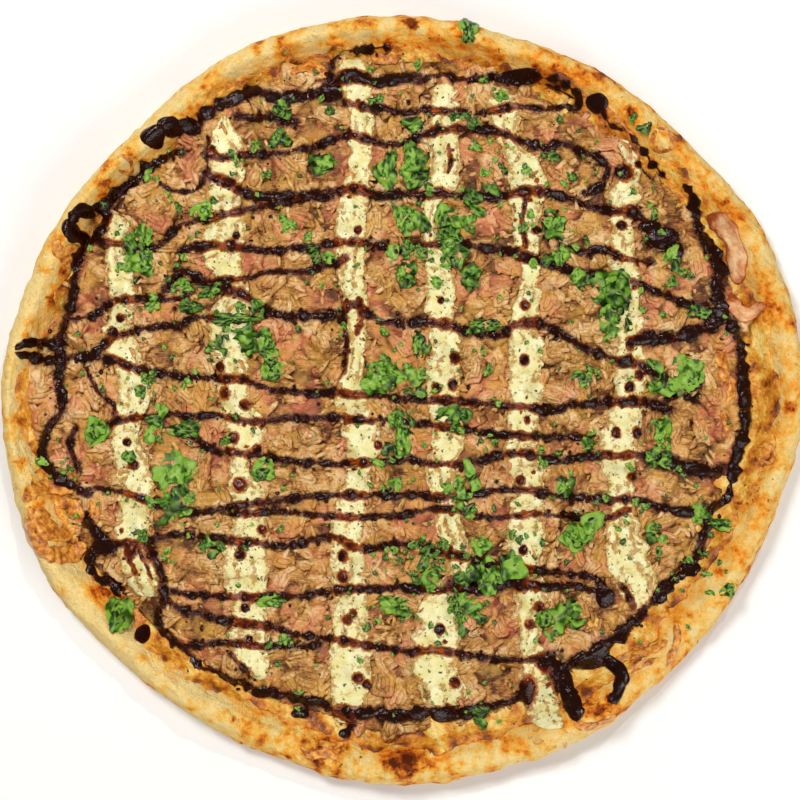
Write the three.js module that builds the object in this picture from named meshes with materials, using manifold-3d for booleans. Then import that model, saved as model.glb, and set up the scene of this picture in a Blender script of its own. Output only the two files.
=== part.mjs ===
// Tuna pizza: an oval hand-stretched crust with a raised rim, melted cheese, a bed of flaked tuna,
// six piped cream strips, rows and a ring of dark sauce, and torn parsley leaves.
// Millimetres, +Z up. The origin is on the flat underside, below the middle of the crust.
import * as THREE from 'three';
import { mergeVertices } from 'three/addons/utils/BufferGeometryUtils.js';
import Module from 'manifold-3d';

const wasm = await Module();
wasm.setup();

// Crust: outline, seen from above.
const MEAN_RADIUS = 156;
const OVAL_SWELL = 3.4; // wider across X than across Y
const OVAL_TURN = THREE.MathUtils.degToRad(6);
const CORNER_SWELL = 2.4; // four soft corners from stretching by hand
const CORNER_TURN = THREE.MathUtils.degToRad(9);
const DRIFT = 1.2; // the middle of the dough is off the middle of the box
const DRIFT_TURN = THREE.MathUtils.degToRad(-40);
const RIM_RIPPLE = 0.5;

// Crust: section.
const BASE_THICKNESS = 4.5;
const RIM_HEIGHT = 16;
const RIM_BAND = 19.5; // from the outline in to the edge of the topping
const RIM_BAND_SWING = 4; // widest towards the lower right
const RIM_BAND_TURN = THREE.MathUtils.degToRad(-50);
const RIM_BAND_NOTCH = 5; // the topping runs out over the rim on the left
const NOTCH_ANGLE = 0.17;
const RIM_LUMP = 1.1; // uneven height of the crown
const FOOT_CLEARANCE = 1;
const CRUST_SECTORS = 84;

// Layers on the crust.
const GAP = 0.3;
const SLOPE_GAP = 0.45;
const CHEESE_TOP = 6.3;
const CHEESE_REACH = 4.6; // how far the cheese climbs the inside of the rim
const CHEESE_RAGGED = 1.1;
const CHEESE_LIP = [0.4, 1.1]; // inwards and up from the lower edge to the upper edge
const CHEESE_FALL = 0.8; // level top ends this far inside the foot of the rim

// Tuna.
const TUNA_TOP = 11.3;
const TUNA_EDGE_TOP = 7.7;
const TUNA_SHOULDER = 9;
const TUNA_RINGS = 16;
const BUMP_HEIGHT = 2;
const DIP_DEPTH = 1.5;
const FLAKE_PITCH = 16.5;
const FLAKE_JITTER = 0.7; // share of the pitch
const FLAKE_LENGTH = [10, 17];
const FLAKE_WIDTH = [6, 9];
const FLAKE_HEIGHT = [3.2, 4.6];
const FLAKE_LIFT = 0.35; // middle of a flake above the bed
const FLAKE_INSET = 7; // from the edge of the bed

// Cream strips.
const STRIP_HALF_WIDTH = 6.1;
const STRIP_WIDEST = 7.14; // half width where a strip bulges most
const STRIP_THICKNESS = 2.4;
const STRIP_STEP = 10;
const STRIP_ROUNDING = 0.035; // share of its length over which a strip's end rounds off
const STRIP_MARGIN = 1.4; // kept clear on each side by the flakes

// Sauce.
const SAUCE_WIDTH = 3.4;
const SAUCE_HEIGHT = 1.3;
const SAUCE_SINK = 1.1;
const SAUCE_STEP = 18;
const SAUCE_INSET = 3.5; // from the edge of the tuna
const SAUCE_MARGIN = 1.9; // kept clear of a strip by the sauce on the tuna
const SAUCE_LAP = 1.1; // from the edge of a strip to the end of the sauce on it
const SAUCE_SPANS = [5, 30]; // shortest and longest run of sauce over a strip

// Parsley.
const LEAF_THICKNESS = 0.9;
const LEAF_POINTS = 13;
const LEAF_WAVE = 0.7;
const LEAF_REACH = 4;
const LEAF_DROOP = 2.5; // most that an edge hangs below or stands above the middle

// Places are written on a plan of the pizza from above, a square grid of PLAN_UNIT millimetres
// with x to the right and y down, where the middle of the pizza is at PLAN_CENTRE.
const PLAN_UNIT = 0.4;
const PLAN_CENTRE = [400, 398];

// Middle line of each cream strip, from its top end to its lower end.
const STRIP_LINES = [
  [[113, 212], [118, 262], [120, 330], [132, 390], [130, 455], [136, 520], [145, 600]],
  [[222, 116], [226, 160], [224, 240], [232, 300], [230, 370], [246, 450], [246, 560], [256, 680]],
  [[354, 58], [358, 120], [358, 180], [351, 260], [354, 330], [362, 440], [348, 540], [350, 728]],
  [[443, 84], [443, 160], [430, 225], [442, 300], [446, 350], [449, 440], [452, 540], [438, 600], [438, 710]],
  [[503, 88], [512, 150], [530, 200], [526, 300], [526, 420], [526, 540], [534, 640], [546, 722]],
  [[625, 140], [628, 200], [624, 260], [632, 360], [620, 440], [620, 520], [636, 585], [645, 622]],
];

// Sauce rows that cross the tuna and the strips from left to right.
const SAUCE_ROWS = [
  [[235, 115], [295, 122], [345, 133], [400, 143], [455, 130], [515, 138], [590, 155], [608, 168]],
  [[205, 175], [250, 195], [350, 187], [430, 193], [490, 197], [570, 198], [660, 235]],
  [[85, 240], [160, 248], [200, 218], [270, 205], [330, 195]],
  [[180, 250], [260, 250], [335, 243], [395, 253], [475, 245], [540, 260], [605, 275], [705, 303]],
  [[75, 318], [110, 302], [175, 300], [205, 283], [270, 272], [345, 258]],
  [[205, 283], [250, 298], [275, 315], [385, 322], [465, 330], [515, 325], [580, 345], [665, 378]],
  [[62, 357], [100, 357], [150, 372], [235, 378], [275, 390], [375, 395], [470, 402], [575, 405]],
  [[120, 420], [225, 417], [300, 417], [430, 425], [530, 437], [590, 440]],
  [[180, 430], [215, 450], [310, 463], [455, 465], [520, 453], [625, 455], [700, 470]],
  [[95, 490], [150, 503], [235, 507], [300, 498], [400, 495], [510, 490], [600, 500], [685, 512]],
  [[110, 547], [175, 535], [285, 545], [325, 537], [400, 545], [505, 565], [590, 575]],
  [[165, 602], [205, 617], [300, 635], [400, 650], [500, 660], [550, 655]],
];

// The sauce ring, in two runs near the edge of the tuna.
const SAUCE_RING = [
  [[330, 85], [275, 97], [220, 106], [172, 130], [130, 182], [103, 207], [80, 230], [76, 265], [70, 315],
    [62, 357], [57, 400], [46, 440], [62, 480], [90, 520], [104, 545], [116, 585], [158, 622], [185, 652],
    [225, 678], [290, 697], [345, 714], [430, 714]],
  [[345, 102], [430, 108], [520, 108], [578, 100], [600, 112], [645, 152], [683, 188], [703, 235], [720, 275],
    [718, 315], [738, 345], [744, 420], [733, 480], [706, 527], [688, 568], [645, 612], [575, 662]],
];

// Parsley leaves: place on the plan, length across x and y in plan units, and turn in degrees.
const LEAVES = [
  [283, 108, 25, 22, 0], [280, 138, 26, 24, 40], [323, 165, 32, 26, 10], [200, 210, 26, 24, 70],
  [143, 234, 20, 28, 0], [145, 262, 30, 30, 30], [180, 285, 30, 20, 0], [190, 306, 30, 20, 160],
  [237, 320, 54, 16, 0], [265, 340, 26, 26, 0], [270, 368, 30, 30, 50], [378, 378, 40, 38, 15],
  [385, 170, 28, 42, 0], [468, 30, 25, 34, 10], [415, 125, 30, 18, 0], [410, 160, 28, 42, 175],
  [445, 215, 28, 28, 0], [450, 242, 28, 28, 60], [406, 215, 25, 40, 10], [555, 225, 30, 40, 170],
  [408, 275, 26, 30, 0], [612, 295, 50, 56, 20], [700, 312, 28, 18, 20], [485, 325, 40, 20, 0],
  [422, 340, 22, 34, 15], [690, 375, 42, 52, 160], [97, 432, 28, 38, 0], [185, 432, 40, 22, 10],
  [178, 475, 50, 48, 0], [262, 470, 32, 28, 30], [120, 612, 30, 42, 20], [270, 600, 35, 20, 0],
  [452, 415, 42, 18, 0], [404, 441, 24, 40, 0], [568, 487, 25, 25, 0], [663, 432, 30, 38, 0],
  [722, 525, 30, 16, 10], [575, 535, 38, 34, 0], [480, 546, 30, 20, 0], [490, 578, 30, 40, 10],
  [557, 623, 42, 38, 0], [460, 608, 24, 38, 10], [390, 605, 30, 25, 0], [726, 589, 22, 16, 0],
];

// Two pink flakes of tuna that lie out on the rim at the right.
const RIM_FLAKES = [
  { name: 'rim_flake_long', line: [[712, 214], [722, 232], [732, 252], [738, 276]], halfWidth: 4.6 },
  { name: 'rim_flake_curl', line: [[733, 292], [737, 308], [748, 314], [764, 303]], halfWidth: 3 },
];
const RIM_FLAKE_THICKNESS = 2.6;

const FINISHES = {
  crust: { color: 0xe0ae66, roughness: 0.75, metalness: 0 },
  cheese: { color: 0xe3b04f, roughness: 0.4, metalness: 0 },
  tuna: { color: 0xb9794c, roughness: 0.6, metalness: 0 },
  cream: { color: 0xeee4a6, roughness: 0.35, metalness: 0 },
  pinkTuna: { color: 0xd98a66, roughness: 0.5, metalness: 0 },
  parsley: { color: 0x4f8a30, roughness: 0.5, metalness: 0 },
};

/** Returns a function that gives the same row of numbers from 0 to 1 for the same seed. */
function seededRandom(seed) {
  let state = seed;
  return () => {
    state = (state + 0x6d2b79f5) | 0;
    let mixed = Math.imul(state ^ (state >>> 15), 1 | state);
    mixed = (mixed + Math.imul(mixed ^ (mixed >>> 7), 61 | mixed)) ^ mixed;
    return ((mixed ^ (mixed >>> 14)) >>> 0) / 2 ** 32;
  };
}

const between = ([low, high], share) => low + (high - low) * share;
const clamp = THREE.MathUtils.clamp;
const smooth = THREE.MathUtils.smoothstep;

/** Turns a place on the plan into millimetres. */
function fromPlan([planX, planY]) {
  return new THREE.Vector2((planX - PLAN_CENTRE[0]) * PLAN_UNIT, (PLAN_CENTRE[1] - planY) * PLAN_UNIT);
}

/** Radius of the crust's outline at an angle. */
function outlineRadius(angle) {
  const oval = OVAL_SWELL * Math.cos(2 * (angle - OVAL_TURN));
  const corners = CORNER_SWELL * Math.cos(4 * (angle - CORNER_TURN));
  const drift = DRIFT * Math.cos(angle - DRIFT_TURN);
  const ripple = RIM_RIPPLE * (Math.sin(7 * angle + 1) + Math.sin(12 * angle + 2));
  return MEAN_RADIUS + oval + corners + drift + ripple;
}

/** Width of the bare rim at an angle, from the outline in to the tuna. */
function rimBand(angle) {
  const swing = RIM_BAND_SWING * Math.cos(angle - RIM_BAND_TURN);
  const ragged = 0.9 * Math.sin(9 * angle) + 0.7 * Math.sin(17 * angle);
  const fromLeft = Math.abs(Math.abs(angle) - Math.PI);
  return RIM_BAND + swing + ragged - RIM_BAND_NOTCH * Math.exp(-((fromLeft / NOTCH_ANGLE) ** 2));
}

const tunaRadius = (angle) => outlineRadius(angle) - rimBand(angle);

/** Makes an indexed geometry from lists of corners and triangles. */
function closedGeometry(corners, triangles) {
  const geometry = new THREE.BufferGeometry();
  geometry.setAttribute('position', new THREE.Float32BufferAttribute(corners.flat(), 3));
  geometry.setIndex(triangles.flat());
  return geometry;
}

/** Welds a geometry so that only shared corners and triangles are left. */
function welded(geometry) {
  const bare = geometry.clone();
  bare.deleteAttribute('normal');
  bare.deleteAttribute('uv');
  return mergeVertices(bare, 1e-4);
}

function toSolid(geometry) {
  const shape = welded(geometry);
  return new wasm.Manifold(new wasm.Mesh({
    numProp: 3,
    vertProperties: new Float32Array(shape.attributes.position.array),
    triVerts: new Uint32Array(shape.index.array),
  }));
}

function toGeometry(solid) {
  const mesh = solid.getMesh();
  const geometry = new THREE.BufferGeometry();
  geometry.setAttribute('position', new THREE.BufferAttribute(mesh.vertProperties, 3));
  geometry.setIndex(new THREE.BufferAttribute(mesh.triVerts, 1));
  return geometry;
}

/** Joins to a solid all the others that reach into it. */
function joinTouching(first, others) {
  return others.reduce((whole, other) => (whole.intersect(other).isEmpty() ? whole : whole.add(other)), first);
}

// ---- Crust and cheese -------------------------------------------------------------------------

const MEAN_FOOT = MEAN_RADIUS - RIM_BAND + FOOT_CLEARANCE;
const RIM_SPAN = MEAN_RADIUS - MEAN_FOOT;

// Section of the rim from its inner foot over the crown, as share of the rim's span and height.
const RIM_INSIDE = [[0, BASE_THICKNESS], [0.16, 6.6], [0.34, 11], [0.5, 14.6]];
const RIM_CROWN = [[0.66, RIM_HEIGHT], [0.84, 14.2], [0.97, 9.4]];
const RIM_OUTSIDE = [[1, 5.4], [0.95, 1.6], [0.84, 0]];

const rimPoint = ([share, height]) => new THREE.Vector2(MEAN_FOOT + share * RIM_SPAN, height);

/** Bends a round lathe shape to the crust's outline, band and uneven crown. */
function bendToOutline(geometry) {
  const position = geometry.attributes.position;
  for (let i = 0; i < position.count; i += 1) {
    const x = position.getX(i);
    const y = position.getY(i);
    const angle = Math.atan2(y, x);
    const radius = Math.hypot(x, y);
    const foot = tunaRadius(angle) + FOOT_CLEARANCE;
    const share = (radius - MEAN_FOOT) / RIM_SPAN;
    const bent = share < 0 ? (radius / MEAN_FOOT) * foot : foot + share * (outlineRadius(angle) - foot);
    const stretch = radius > 0 ? bent / radius : 1;
    const lump = Math.sin(5 * angle + 1) + 0.7 * Math.sin(11 * angle) + 0.5 * Math.sin(23 * angle + 2);
    const height = position.getZ(i);
    const lift = RIM_LUMP * lump * smooth(height, BASE_THICKNESS + 2, RIM_HEIGHT);
    position.setXYZ(i, x * stretch, y * stretch, height + lift);
  }
  return geometry;
}

/** Turns a section about the Z axis; the section runs upwards from the axis at its lower side. */
function latheAboutZ(section) {
  return new THREE.LatheGeometry(section, CRUST_SECTORS).rotateX(Math.PI / 2);
}

function crustGeometry() {
  const section = [
    new THREE.Vector2(0, 0),
    ...[...RIM_OUTSIDE].reverse().map(rimPoint),
    ...[...RIM_CROWN].reverse().map(rimPoint),
    ...[...RIM_INSIDE].reverse().map(rimPoint),
    new THREE.Vector2(0, BASE_THICKNESS),
  ];
  return bendToOutline(latheAboutZ(section));
}

/** Height of the inside of the mean rim at a radius. */
function insideHeight(radius) {
  const points = RIM_INSIDE.map(rimPoint);
  const last = points.findIndex((point) => point.x >= radius);
  if (last <= 0) {
    return points[0].y;
  }
  const share = (radius - points[last - 1].x) / (points[last].x - points[last - 1].x);
  return THREE.MathUtils.lerp(points[last - 1].y, points[last].y, share);
}

function cheeseGeometry() {
  const foot = rimPoint(RIM_INSIDE[0]);
  const step = rimPoint(RIM_INSIDE[1]);
  const edge = MEAN_FOOT + CHEESE_REACH;
  const edgeHeight = insideHeight(edge) + SLOPE_GAP;
  const section = [
    new THREE.Vector2(0, foot.y + SLOPE_GAP),
    new THREE.Vector2(foot.x, foot.y + SLOPE_GAP),
    new THREE.Vector2(step.x, step.y + SLOPE_GAP),
    new THREE.Vector2(edge, edgeHeight),
    new THREE.Vector2(edge - CHEESE_LIP[0], edgeHeight + CHEESE_LIP[1]),
    new THREE.Vector2(foot.x - CHEESE_FALL, CHEESE_TOP),
    new THREE.Vector2(0, CHEESE_TOP),
  ];
  const geometry = latheAboutZ(section);
  const position = geometry.attributes.position;
  for (let i = 0; i < position.count; i += 1) {
    const x = position.getX(i);
    const y = position.getY(i);
    const radius = Math.hypot(x, y);
    if (radius > edge - 1) {
      const angle = Math.atan2(y, x);
      const ragged = Math.sin(6 * angle + 2) + 0.6 * Math.sin(13 * angle) + 0.5 * Math.sin(29 * angle + 1);
      const moved = radius + CHEESE_RAGGED * ragged;
      const lift = insideHeight(moved) - insideHeight(radius);
      position.setXYZ(i, (x * moved) / radius, (y * moved) / radius, position.getZ(i) + lift);
    }
  }
  return bendToOutline(geometry);
}

// ---- Height map that pieces are laid on ---------------------------------------------------------

const CELL = 0.5;
const MAP_HALF = 170;
const MAP_SIDE = Math.round((2 * MAP_HALF) / CELL);
const heightMap = new Float32Array(MAP_SIDE * MAP_SIDE);

/** Calls visit(cell index, height) for each cell of the map under a triangle. */
function overTriangle(a, b, c, visit) {
  const area = (b.x - a.x) * (c.y - a.y) - (c.x - a.x) * (b.y - a.y);
  if (Math.abs(area) < 1e-6) {
    return;
  }
  const cellOf = (value) => clamp(Math.floor((value + MAP_HALF) / CELL), 0, MAP_SIDE - 1);
  for (let row = cellOf(Math.min(a.y, b.y, c.y)); row <= cellOf(Math.max(a.y, b.y, c.y)); row += 1) {
    for (let column = cellOf(Math.min(a.x, b.x, c.x)); column <= cellOf(Math.max(a.x, b.x, c.x)); column += 1) {
      const x = (column + 0.5) * CELL - MAP_HALF;
      const y = (row + 0.5) * CELL - MAP_HALF;
      const second = ((x - a.x) * (c.y - a.y) - (c.x - a.x) * (y - a.y)) / area;
      const third = ((b.x - a.x) * (y - a.y) - (x - a.x) * (b.y - a.y)) / area;
      if (second >= -0.05 && third >= -0.05 && second + third <= 1.05) {
        visit(row * MAP_SIDE + column, a.z + second * (b.z - a.z) + third * (c.z - a.z));
      }
    }
  }
}

function eachTriangle(geometry, use) {
  const { position } = geometry.attributes;
  const { index } = geometry;
  const corner = (i) => new THREE.Vector3().fromBufferAttribute(position, index.getX(i));
  for (let i = 0; i < index.count; i += 3) {
    use(corner(i), corner(i + 1), corner(i + 2));
  }
}

/** Raises the height map to the top of a geometry. */
function addToMap(geometry) {
  eachTriangle(geometry, (a, b, c) => overTriangle(a, b, c, (cell, height) => {
    heightMap[cell] = Math.max(heightMap[cell], height);
  }));
}

/** Highest point of the map within a reach of a place. */
function highestNear(x, y, reach) {
  let highest = 0;
  for (let dy = -reach; dy <= reach; dy += CELL) {
    for (let dx = -reach; dx <= reach; dx += CELL) {
      const column = clamp(Math.floor((x + dx + MAP_HALF) / CELL), 0, MAP_SIDE - 1);
      const row = clamp(Math.floor((y + dy + MAP_HALF) / CELL), 0, MAP_SIDE - 1);
      highest = Math.max(highest, heightMap[row * MAP_SIDE + column]);
    }
  }
  return highest;
}

/** Lifts a geometry, whose underside follows the map loosely, until it is just clear of it. */
function settle(geometry) {
  let lift = -Infinity;
  eachTriangle(geometry, (a, b, c) => overTriangle(a, b, c, (cell, height) => {
    lift = Math.max(lift, heightMap[cell] - height);
  }));
  geometry.translate(0, 0, lift + GAP);
  addToMap(geometry);
  return geometry;
}

// ---- Cream strips -----------------------------------------------------------------------------

const stripCurves = STRIP_LINES.map((line) => new THREE.SplineCurve(line.map(fromPlan)));
const stripSamples = stripCurves.map((curve) => curve.getSpacedPoints(80));

/** Distance from a place to the nearest middle line of a strip. */
function stripDistance(place) {
  return Math.min(...stripSamples.flat().map((point) => point.distanceTo(place)));
}

/** Half width of a strip at a share of its length: rounded at both ends and uneven between. */
function stripHalfWidth(index, share) {
  const ends = Math.sqrt(clamp(Math.min(share, 1 - share) / STRIP_ROUNDING, 0.12, 1));
  const uneven = 1 + 0.09 * Math.sin(21 * share + index) + 0.07 * Math.sin(47 * share + 3 * index);
  return STRIP_HALF_WIDTH * ends * uneven;
}

/** Sweeps an open section along a line on the plan and closes it below and at both ends. */
function sweptBand(stations, section) {
  const corners = [];
  const triangles = [];
  const width = section.length;
  stations.forEach((station) => {
    section.forEach(([across, up]) => {
      corners.push([
        station.place.x + station.side.x * across * station.halfWidth,
        station.place.y + station.side.y * across * station.halfWidth,
        station.floor + up * station.rise,
      ]);
    });
  });
  for (let row = 0; row < stations.length - 1; row += 1) {
    for (let column = 0; column < width; column += 1) {
      const a = row * width + column;
      const b = row * width + ((column + 1) % width);
      triangles.push([a, b, b + width], [a, b + width, a + width]);
    }
  }
  const last = (stations.length - 1) * width;
  for (let column = 1; column < width - 1; column += 1) {
    triangles.push([0, column + 1, column], [last, last + column, last + column + 1]);
  }
  return closedGeometry(corners, triangles);
}

/** Places along a curve with the direction across it, at even steps. */
function stationsAlong(curve, step) {
  const count = Math.max(2, Math.round(curve.getLength() / step));
  return curve.getSpacedPoints(count).map((place, i) => {
    const tangent = curve.getTangentAt(i / count);
    return { place, share: i / count, side: new THREE.Vector2(-tangent.y, tangent.x) };
  });
}

const STRIP_SECTION = [[1, 0], [0.82, 0.85], [0, 1], [-0.86, 0.8], [-1, 0]];

function stripGeometry(curve, index) {
  const stations = stationsAlong(curve, STRIP_STEP).map((station) => {
    const halfWidth = stripHalfWidth(index, station.share);
    const uneven = 1 + 0.2 * Math.sin(33 * station.share + index) + 0.1 * Math.sin(71 * station.share);
    const rise = STRIP_THICKNESS * uneven * clamp(halfWidth / STRIP_HALF_WIDTH, 0.5, 1);
    const floors = [-1, -0.5, 0, 0.5, 1].map((across) => highestNear(
      station.place.x + station.side.x * across * halfWidth,
      station.place.y + station.side.y * across * halfWidth,
      STRIP_STEP / 2,
    ));
    return { ...station, halfWidth, rise, floor: Math.max(...floors) };
  });
  return settle(sweptBand(stations, STRIP_SECTION));
}

// ---- Tuna -------------------------------------------------------------------------------------

/** Uneven height of the tuna: level under the strips, no bumps beside them, bumps between them. */
function tunaRelief(place) {
  const waves = Math.sin(place.x * 0.42 + 1.3 * Math.sin(place.y * 0.21))
    * Math.sin(place.y * 0.5 + 1.1 * Math.sin(place.x * 0.17));
  const grain = Math.sin(place.x * 0.93 + place.y * 0.71) * Math.sin(place.y * 1.13 - place.x * 0.37);
  const relief = 0.65 * waves + 0.45 * grain;
  const clearance = stripDistance(place) - STRIP_HALF_WIDTH;
  if (relief < 0) {
    return DIP_DEPTH * relief * smooth(clearance, 1.5, 4);
  }
  return BUMP_HEIGHT * relief * smooth(clearance, 7, 9);
}

/** Height of the top of the tuna at a place. */
function tunaHeight(place) {
  const inset = tunaRadius(Math.atan2(place.y, place.x)) - place.length();
  const shoulder = smooth(inset, 0, TUNA_SHOULDER);
  return THREE.MathUtils.lerp(TUNA_EDGE_TOP, TUNA_TOP, shoulder) + tunaRelief(place) * shoulder;
}

/** Disc of six-sided rings, ring k with 6k corners, closed by a flat underside. */
function tunaCoreGeometry() {
  const floor = CHEESE_TOP + GAP;
  const corners = [[0, 0, tunaHeight(new THREE.Vector2())]];
  const triangles = [];
  const ringStart = (ring) => (ring === 0 ? 0 : 1 + 3 * ring * (ring - 1));
  for (let ring = 1; ring <= TUNA_RINGS; ring += 1) {
    for (let i = 0; i < 6 * ring; i += 1) {
      const angle = Math.atan2(Math.sin((i / (3 * ring)) * Math.PI), Math.cos((i / (3 * ring)) * Math.PI));
      const radius = (ring / TUNA_RINGS) * tunaRadius(angle);
      const place = new THREE.Vector2(radius * Math.cos(angle), radius * Math.sin(angle));
      corners.push([place.x, place.y, tunaHeight(place)]);
    }
    const inner = ringStart(ring - 1);
    const outer = ringStart(ring);
    const innerCount = Math.max(1, 6 * (ring - 1));
    for (let sector = 0; sector < 6; sector += 1) {
      for (let i = 0; i < ring; i += 1) {
        const a = outer + sector * ring + i;
        const b = outer + ((sector * ring + i + 1) % (6 * ring));
        const c = inner + ((sector * (ring - 1) + i) % innerCount);
        triangles.push([a, b, c]);
        if (i < ring - 1) {
          const d = inner + ((sector * (ring - 1) + i + 1) % innerCount);
          triangles.push([c, b, d]);
        }
      }
    }
  }
  const rim = ringStart(TUNA_RINGS);
  const rimCount = 6 * TUNA_RINGS;
  const lower = corners.length;
  for (let i = 0; i < rimCount; i += 1) {
    const [x, y] = corners[rim + i];
    corners.push([x * 0.994, y * 0.994, floor]);
  }
  const hub = corners.length;
  corners.push([0, 0, floor]);
  for (let i = 0; i < rimCount; i += 1) {
    const next = (i + 1) % rimCount;
    triangles.push([rim + i, lower + i, lower + next], [rim + i, lower + next, rim + next]);
    triangles.push([hub, lower + next, lower + i]);
  }
  return closedGeometry(corners, triangles);
}

/** One angular flake of tuna, half sunk in the bed. */
function flakeGeometry(random, place) {
  const flake = new THREE.OctahedronGeometry(1.15, 0);
  const length = between(FLAKE_LENGTH, random());
  const width = between(FLAKE_WIDTH, random());
  const height = between(FLAKE_HEIGHT, random());
  flake.scale(length / 2, width / 2, height / 2);
  flake.rotateX((random() - 0.5) * 0.6);
  flake.rotateY((random() - 0.5) * 0.5);
  flake.rotateZ(random() * Math.PI);
  flake.translate(place.x, place.y, tunaHeight(place) + FLAKE_LIFT);
  return { geometry: flake, reach: length / 2 };
}

/** Flakes on a jittered grid wherever there is room between the strips. */
function tunaFlakes() {
  const random = seededRandom(20);
  const flakes = [];
  const half = Math.ceil(MEAN_RADIUS / FLAKE_PITCH);
  for (let row = -half; row <= half; row += 1) {
    for (let column = -half; column <= half; column += 1) {
      const place = new THREE.Vector2(
        (column + 0.5 * (row & 1) + (random() - 0.5) * FLAKE_JITTER) * FLAKE_PITCH,
        (row + (random() - 0.5) * FLAKE_JITTER) * FLAKE_PITCH,
      );
      const flake = flakeGeometry(random, place);
      const edge = tunaRadius(Math.atan2(place.y, place.x));
      const room = stripDistance(place) - STRIP_WIDEST - STRIP_MARGIN;
      if (place.length() < edge - FLAKE_INSET && room > flake.reach) {
        flakes.push(toSolid(flake.geometry));
      }
    }
  }
  return flakes;
}

// ---- Sauce ------------------------------------------------------------------------------------

const SAUCE_SECTION = [[1, -1], [0.1, 1], [-1, -1]];

/** A ridge of sauce through stations that carry the height of what it lies on. */
function sauceRidge(stations) {
  const ridge = stations.map((station, i) => {
    const atEnd = i === 0 || i === stations.length - 1;
    const rise = (SAUCE_HEIGHT + SAUCE_SINK) / 2;
    return {
      ...station,
      halfWidth: (SAUCE_WIDTH / 2) * (atEnd ? 0.6 : 1),
      rise,
      floor: station.surface - SAUCE_SINK + rise,
    };
  });
  return toSolid(sweptBand(ridge, SAUCE_SECTION));
}

/** Cuts the stations of a sauce line into unbroken runs that a test accepts. */
function runsOf(stations, accepts) {
  const runs = [[]];
  stations.forEach((station) => {
    if (accepts(station)) {
      runs.at(-1).push(station);
    } else if (runs.at(-1).length > 0) {
      runs.push([]);
    }
  });
  return runs.filter((run) => run.length > 1);
}

const sauceCurves = [...SAUCE_ROWS, ...SAUCE_RING].map((line) => new THREE.SplineCurve(line.map(fromPlan)));

/** Ridges of sauce that lie on the tuna and stop short of the strips. */
function sauceOnTuna() {
  return sauceCurves.flatMap((curve) => {
    const stations = stationsAlong(curve, SAUCE_STEP / 2).map((station) => (
      { ...station, surface: tunaHeight(station.place) }));
    const onTuna = runsOf(stations, ({ place }) => {
      const edge = tunaRadius(Math.atan2(place.y, place.x));
      return place.length() < edge - SAUCE_INSET && stripDistance(place) > STRIP_WIDEST + SAUCE_MARGIN;
    });
    return onTuna.map((run) => {
      const kept = run.filter((station, i) => i % 2 === 0 || i === run.length - 1);
      return sauceRidge(kept);
    });
  });
}

/** Ridges of sauce across one strip, where the rows pass over it. */
function sauceOnStrip(curve, index) {
  const middle = stripSamples[index];
  return sauceCurves.flatMap((line) => {
    const near = stationsAlong(line, 1).map((station) => {
      const distances = middle.map((point) => point.distanceTo(station.place));
      const away = Math.min(...distances);
      return { ...station, away, share: distances.indexOf(away) / (middle.length - 1) };
    });
    const over = runsOf(near, ({ away, share }) => (
      share > 0.03 && share < 0.97 && away < stripHalfWidth(index, share) - SAUCE_LAP));
    const [shortest, longest] = SAUCE_SPANS;
    return over.filter((run) => run.length > shortest && run.length < longest).map((run) => {
      const kept = [run[0], run.at(-1)];
      return sauceRidge(kept.map((station) => (
        { ...station, surface: highestNear(station.place.x, station.place.y, 0) })));
    });
  });
}

// ---- Parsley and loose flakes -------------------------------------------------------------------

/** A thin wavy leaf with three lobes and a toothed edge, both faces split alike. */
function leafGeometry([planX, planY, lengthX, lengthY, turn], index) {
  const middle = fromPlan([planX, planY]);
  const rotation = THREE.MathUtils.degToRad(turn);
  const corners = [];
  const triangles = [];
  const outline = Array.from({ length: LEAF_POINTS }, (_, i) => {
    const around = (i / LEAF_POINTS) * 2 * Math.PI;
    const lobes = 0.82 + 0.16 * Math.cos(3 * around + index) + (i % 2 ? 0.09 : -0.09);
    const u = (Math.cos(around) * lobes * lengthX * PLAN_UNIT) / 2;
    const v = (Math.sin(around) * lobes * lengthY * PLAN_UNIT) / 2;
    return new THREE.Vector2(u, v).rotateAround(new THREE.Vector2(), rotation).add(middle);
  });
  const points = [middle, ...outline];
  const level = highestNear(middle.x, middle.y, LEAF_REACH);
  points.forEach((point, i) => {
    const wave = i === 0 ? 0 : LEAF_WAVE * Math.sin((i / LEAF_POINTS) * 6 * Math.PI + index);
    const below = highestNear(point.x, point.y, LEAF_REACH);
    corners.push([point.x, point.y, clamp(below, level - LEAF_DROOP, level + LEAF_DROOP) + wave]);
  });
  points.forEach((point, i) => {
    corners.push([point.x, point.y, corners[i][2] + LEAF_THICKNESS]);
  });
  const upper = points.length;
  for (let i = 1; i <= LEAF_POINTS; i += 1) {
    const next = (i % LEAF_POINTS) + 1;
    triangles.push([0, next, i], [upper, upper + i, upper + next]);
    triangles.push([i, next, upper + next], [i, upper + next, upper + i]);
  }
  return settle(closedGeometry(corners, triangles));
}

function rimFlakeGeometry({ line, halfWidth }) {
  const curve = new THREE.SplineCurve(line.map(fromPlan));
  const stations = stationsAlong(curve, 4).map((station) => {
    const ends = Math.sqrt(clamp(Math.min(station.share, 1 - station.share) / 0.2, 0.15, 1));
    return {
      ...station,
      halfWidth: halfWidth * ends,
      rise: RIM_FLAKE_THICKNESS * ends,
      floor: highestNear(station.place.x, station.place.y, halfWidth),
    };
  });
  return settle(sweptBand(stations, STRIP_SECTION));
}

// ---- The pizza ----------------------------------------------------------------------------------

const pizza = new THREE.Group();

function addPiece(name, geometry, finish) {
  const mesh = new THREE.Mesh(geometry, new THREE.MeshStandardMaterial(FINISHES[finish]));
  mesh.name = name;
  pizza.add(mesh);
  return geometry;
}

const tunaCore = tunaCoreGeometry();
[
  addPiece('crust', welded(crustGeometry()), 'crust'),
  addPiece('melted_cheese', welded(cheeseGeometry()), 'cheese'),
  tunaCore,
].forEach(addToMap);

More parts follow.
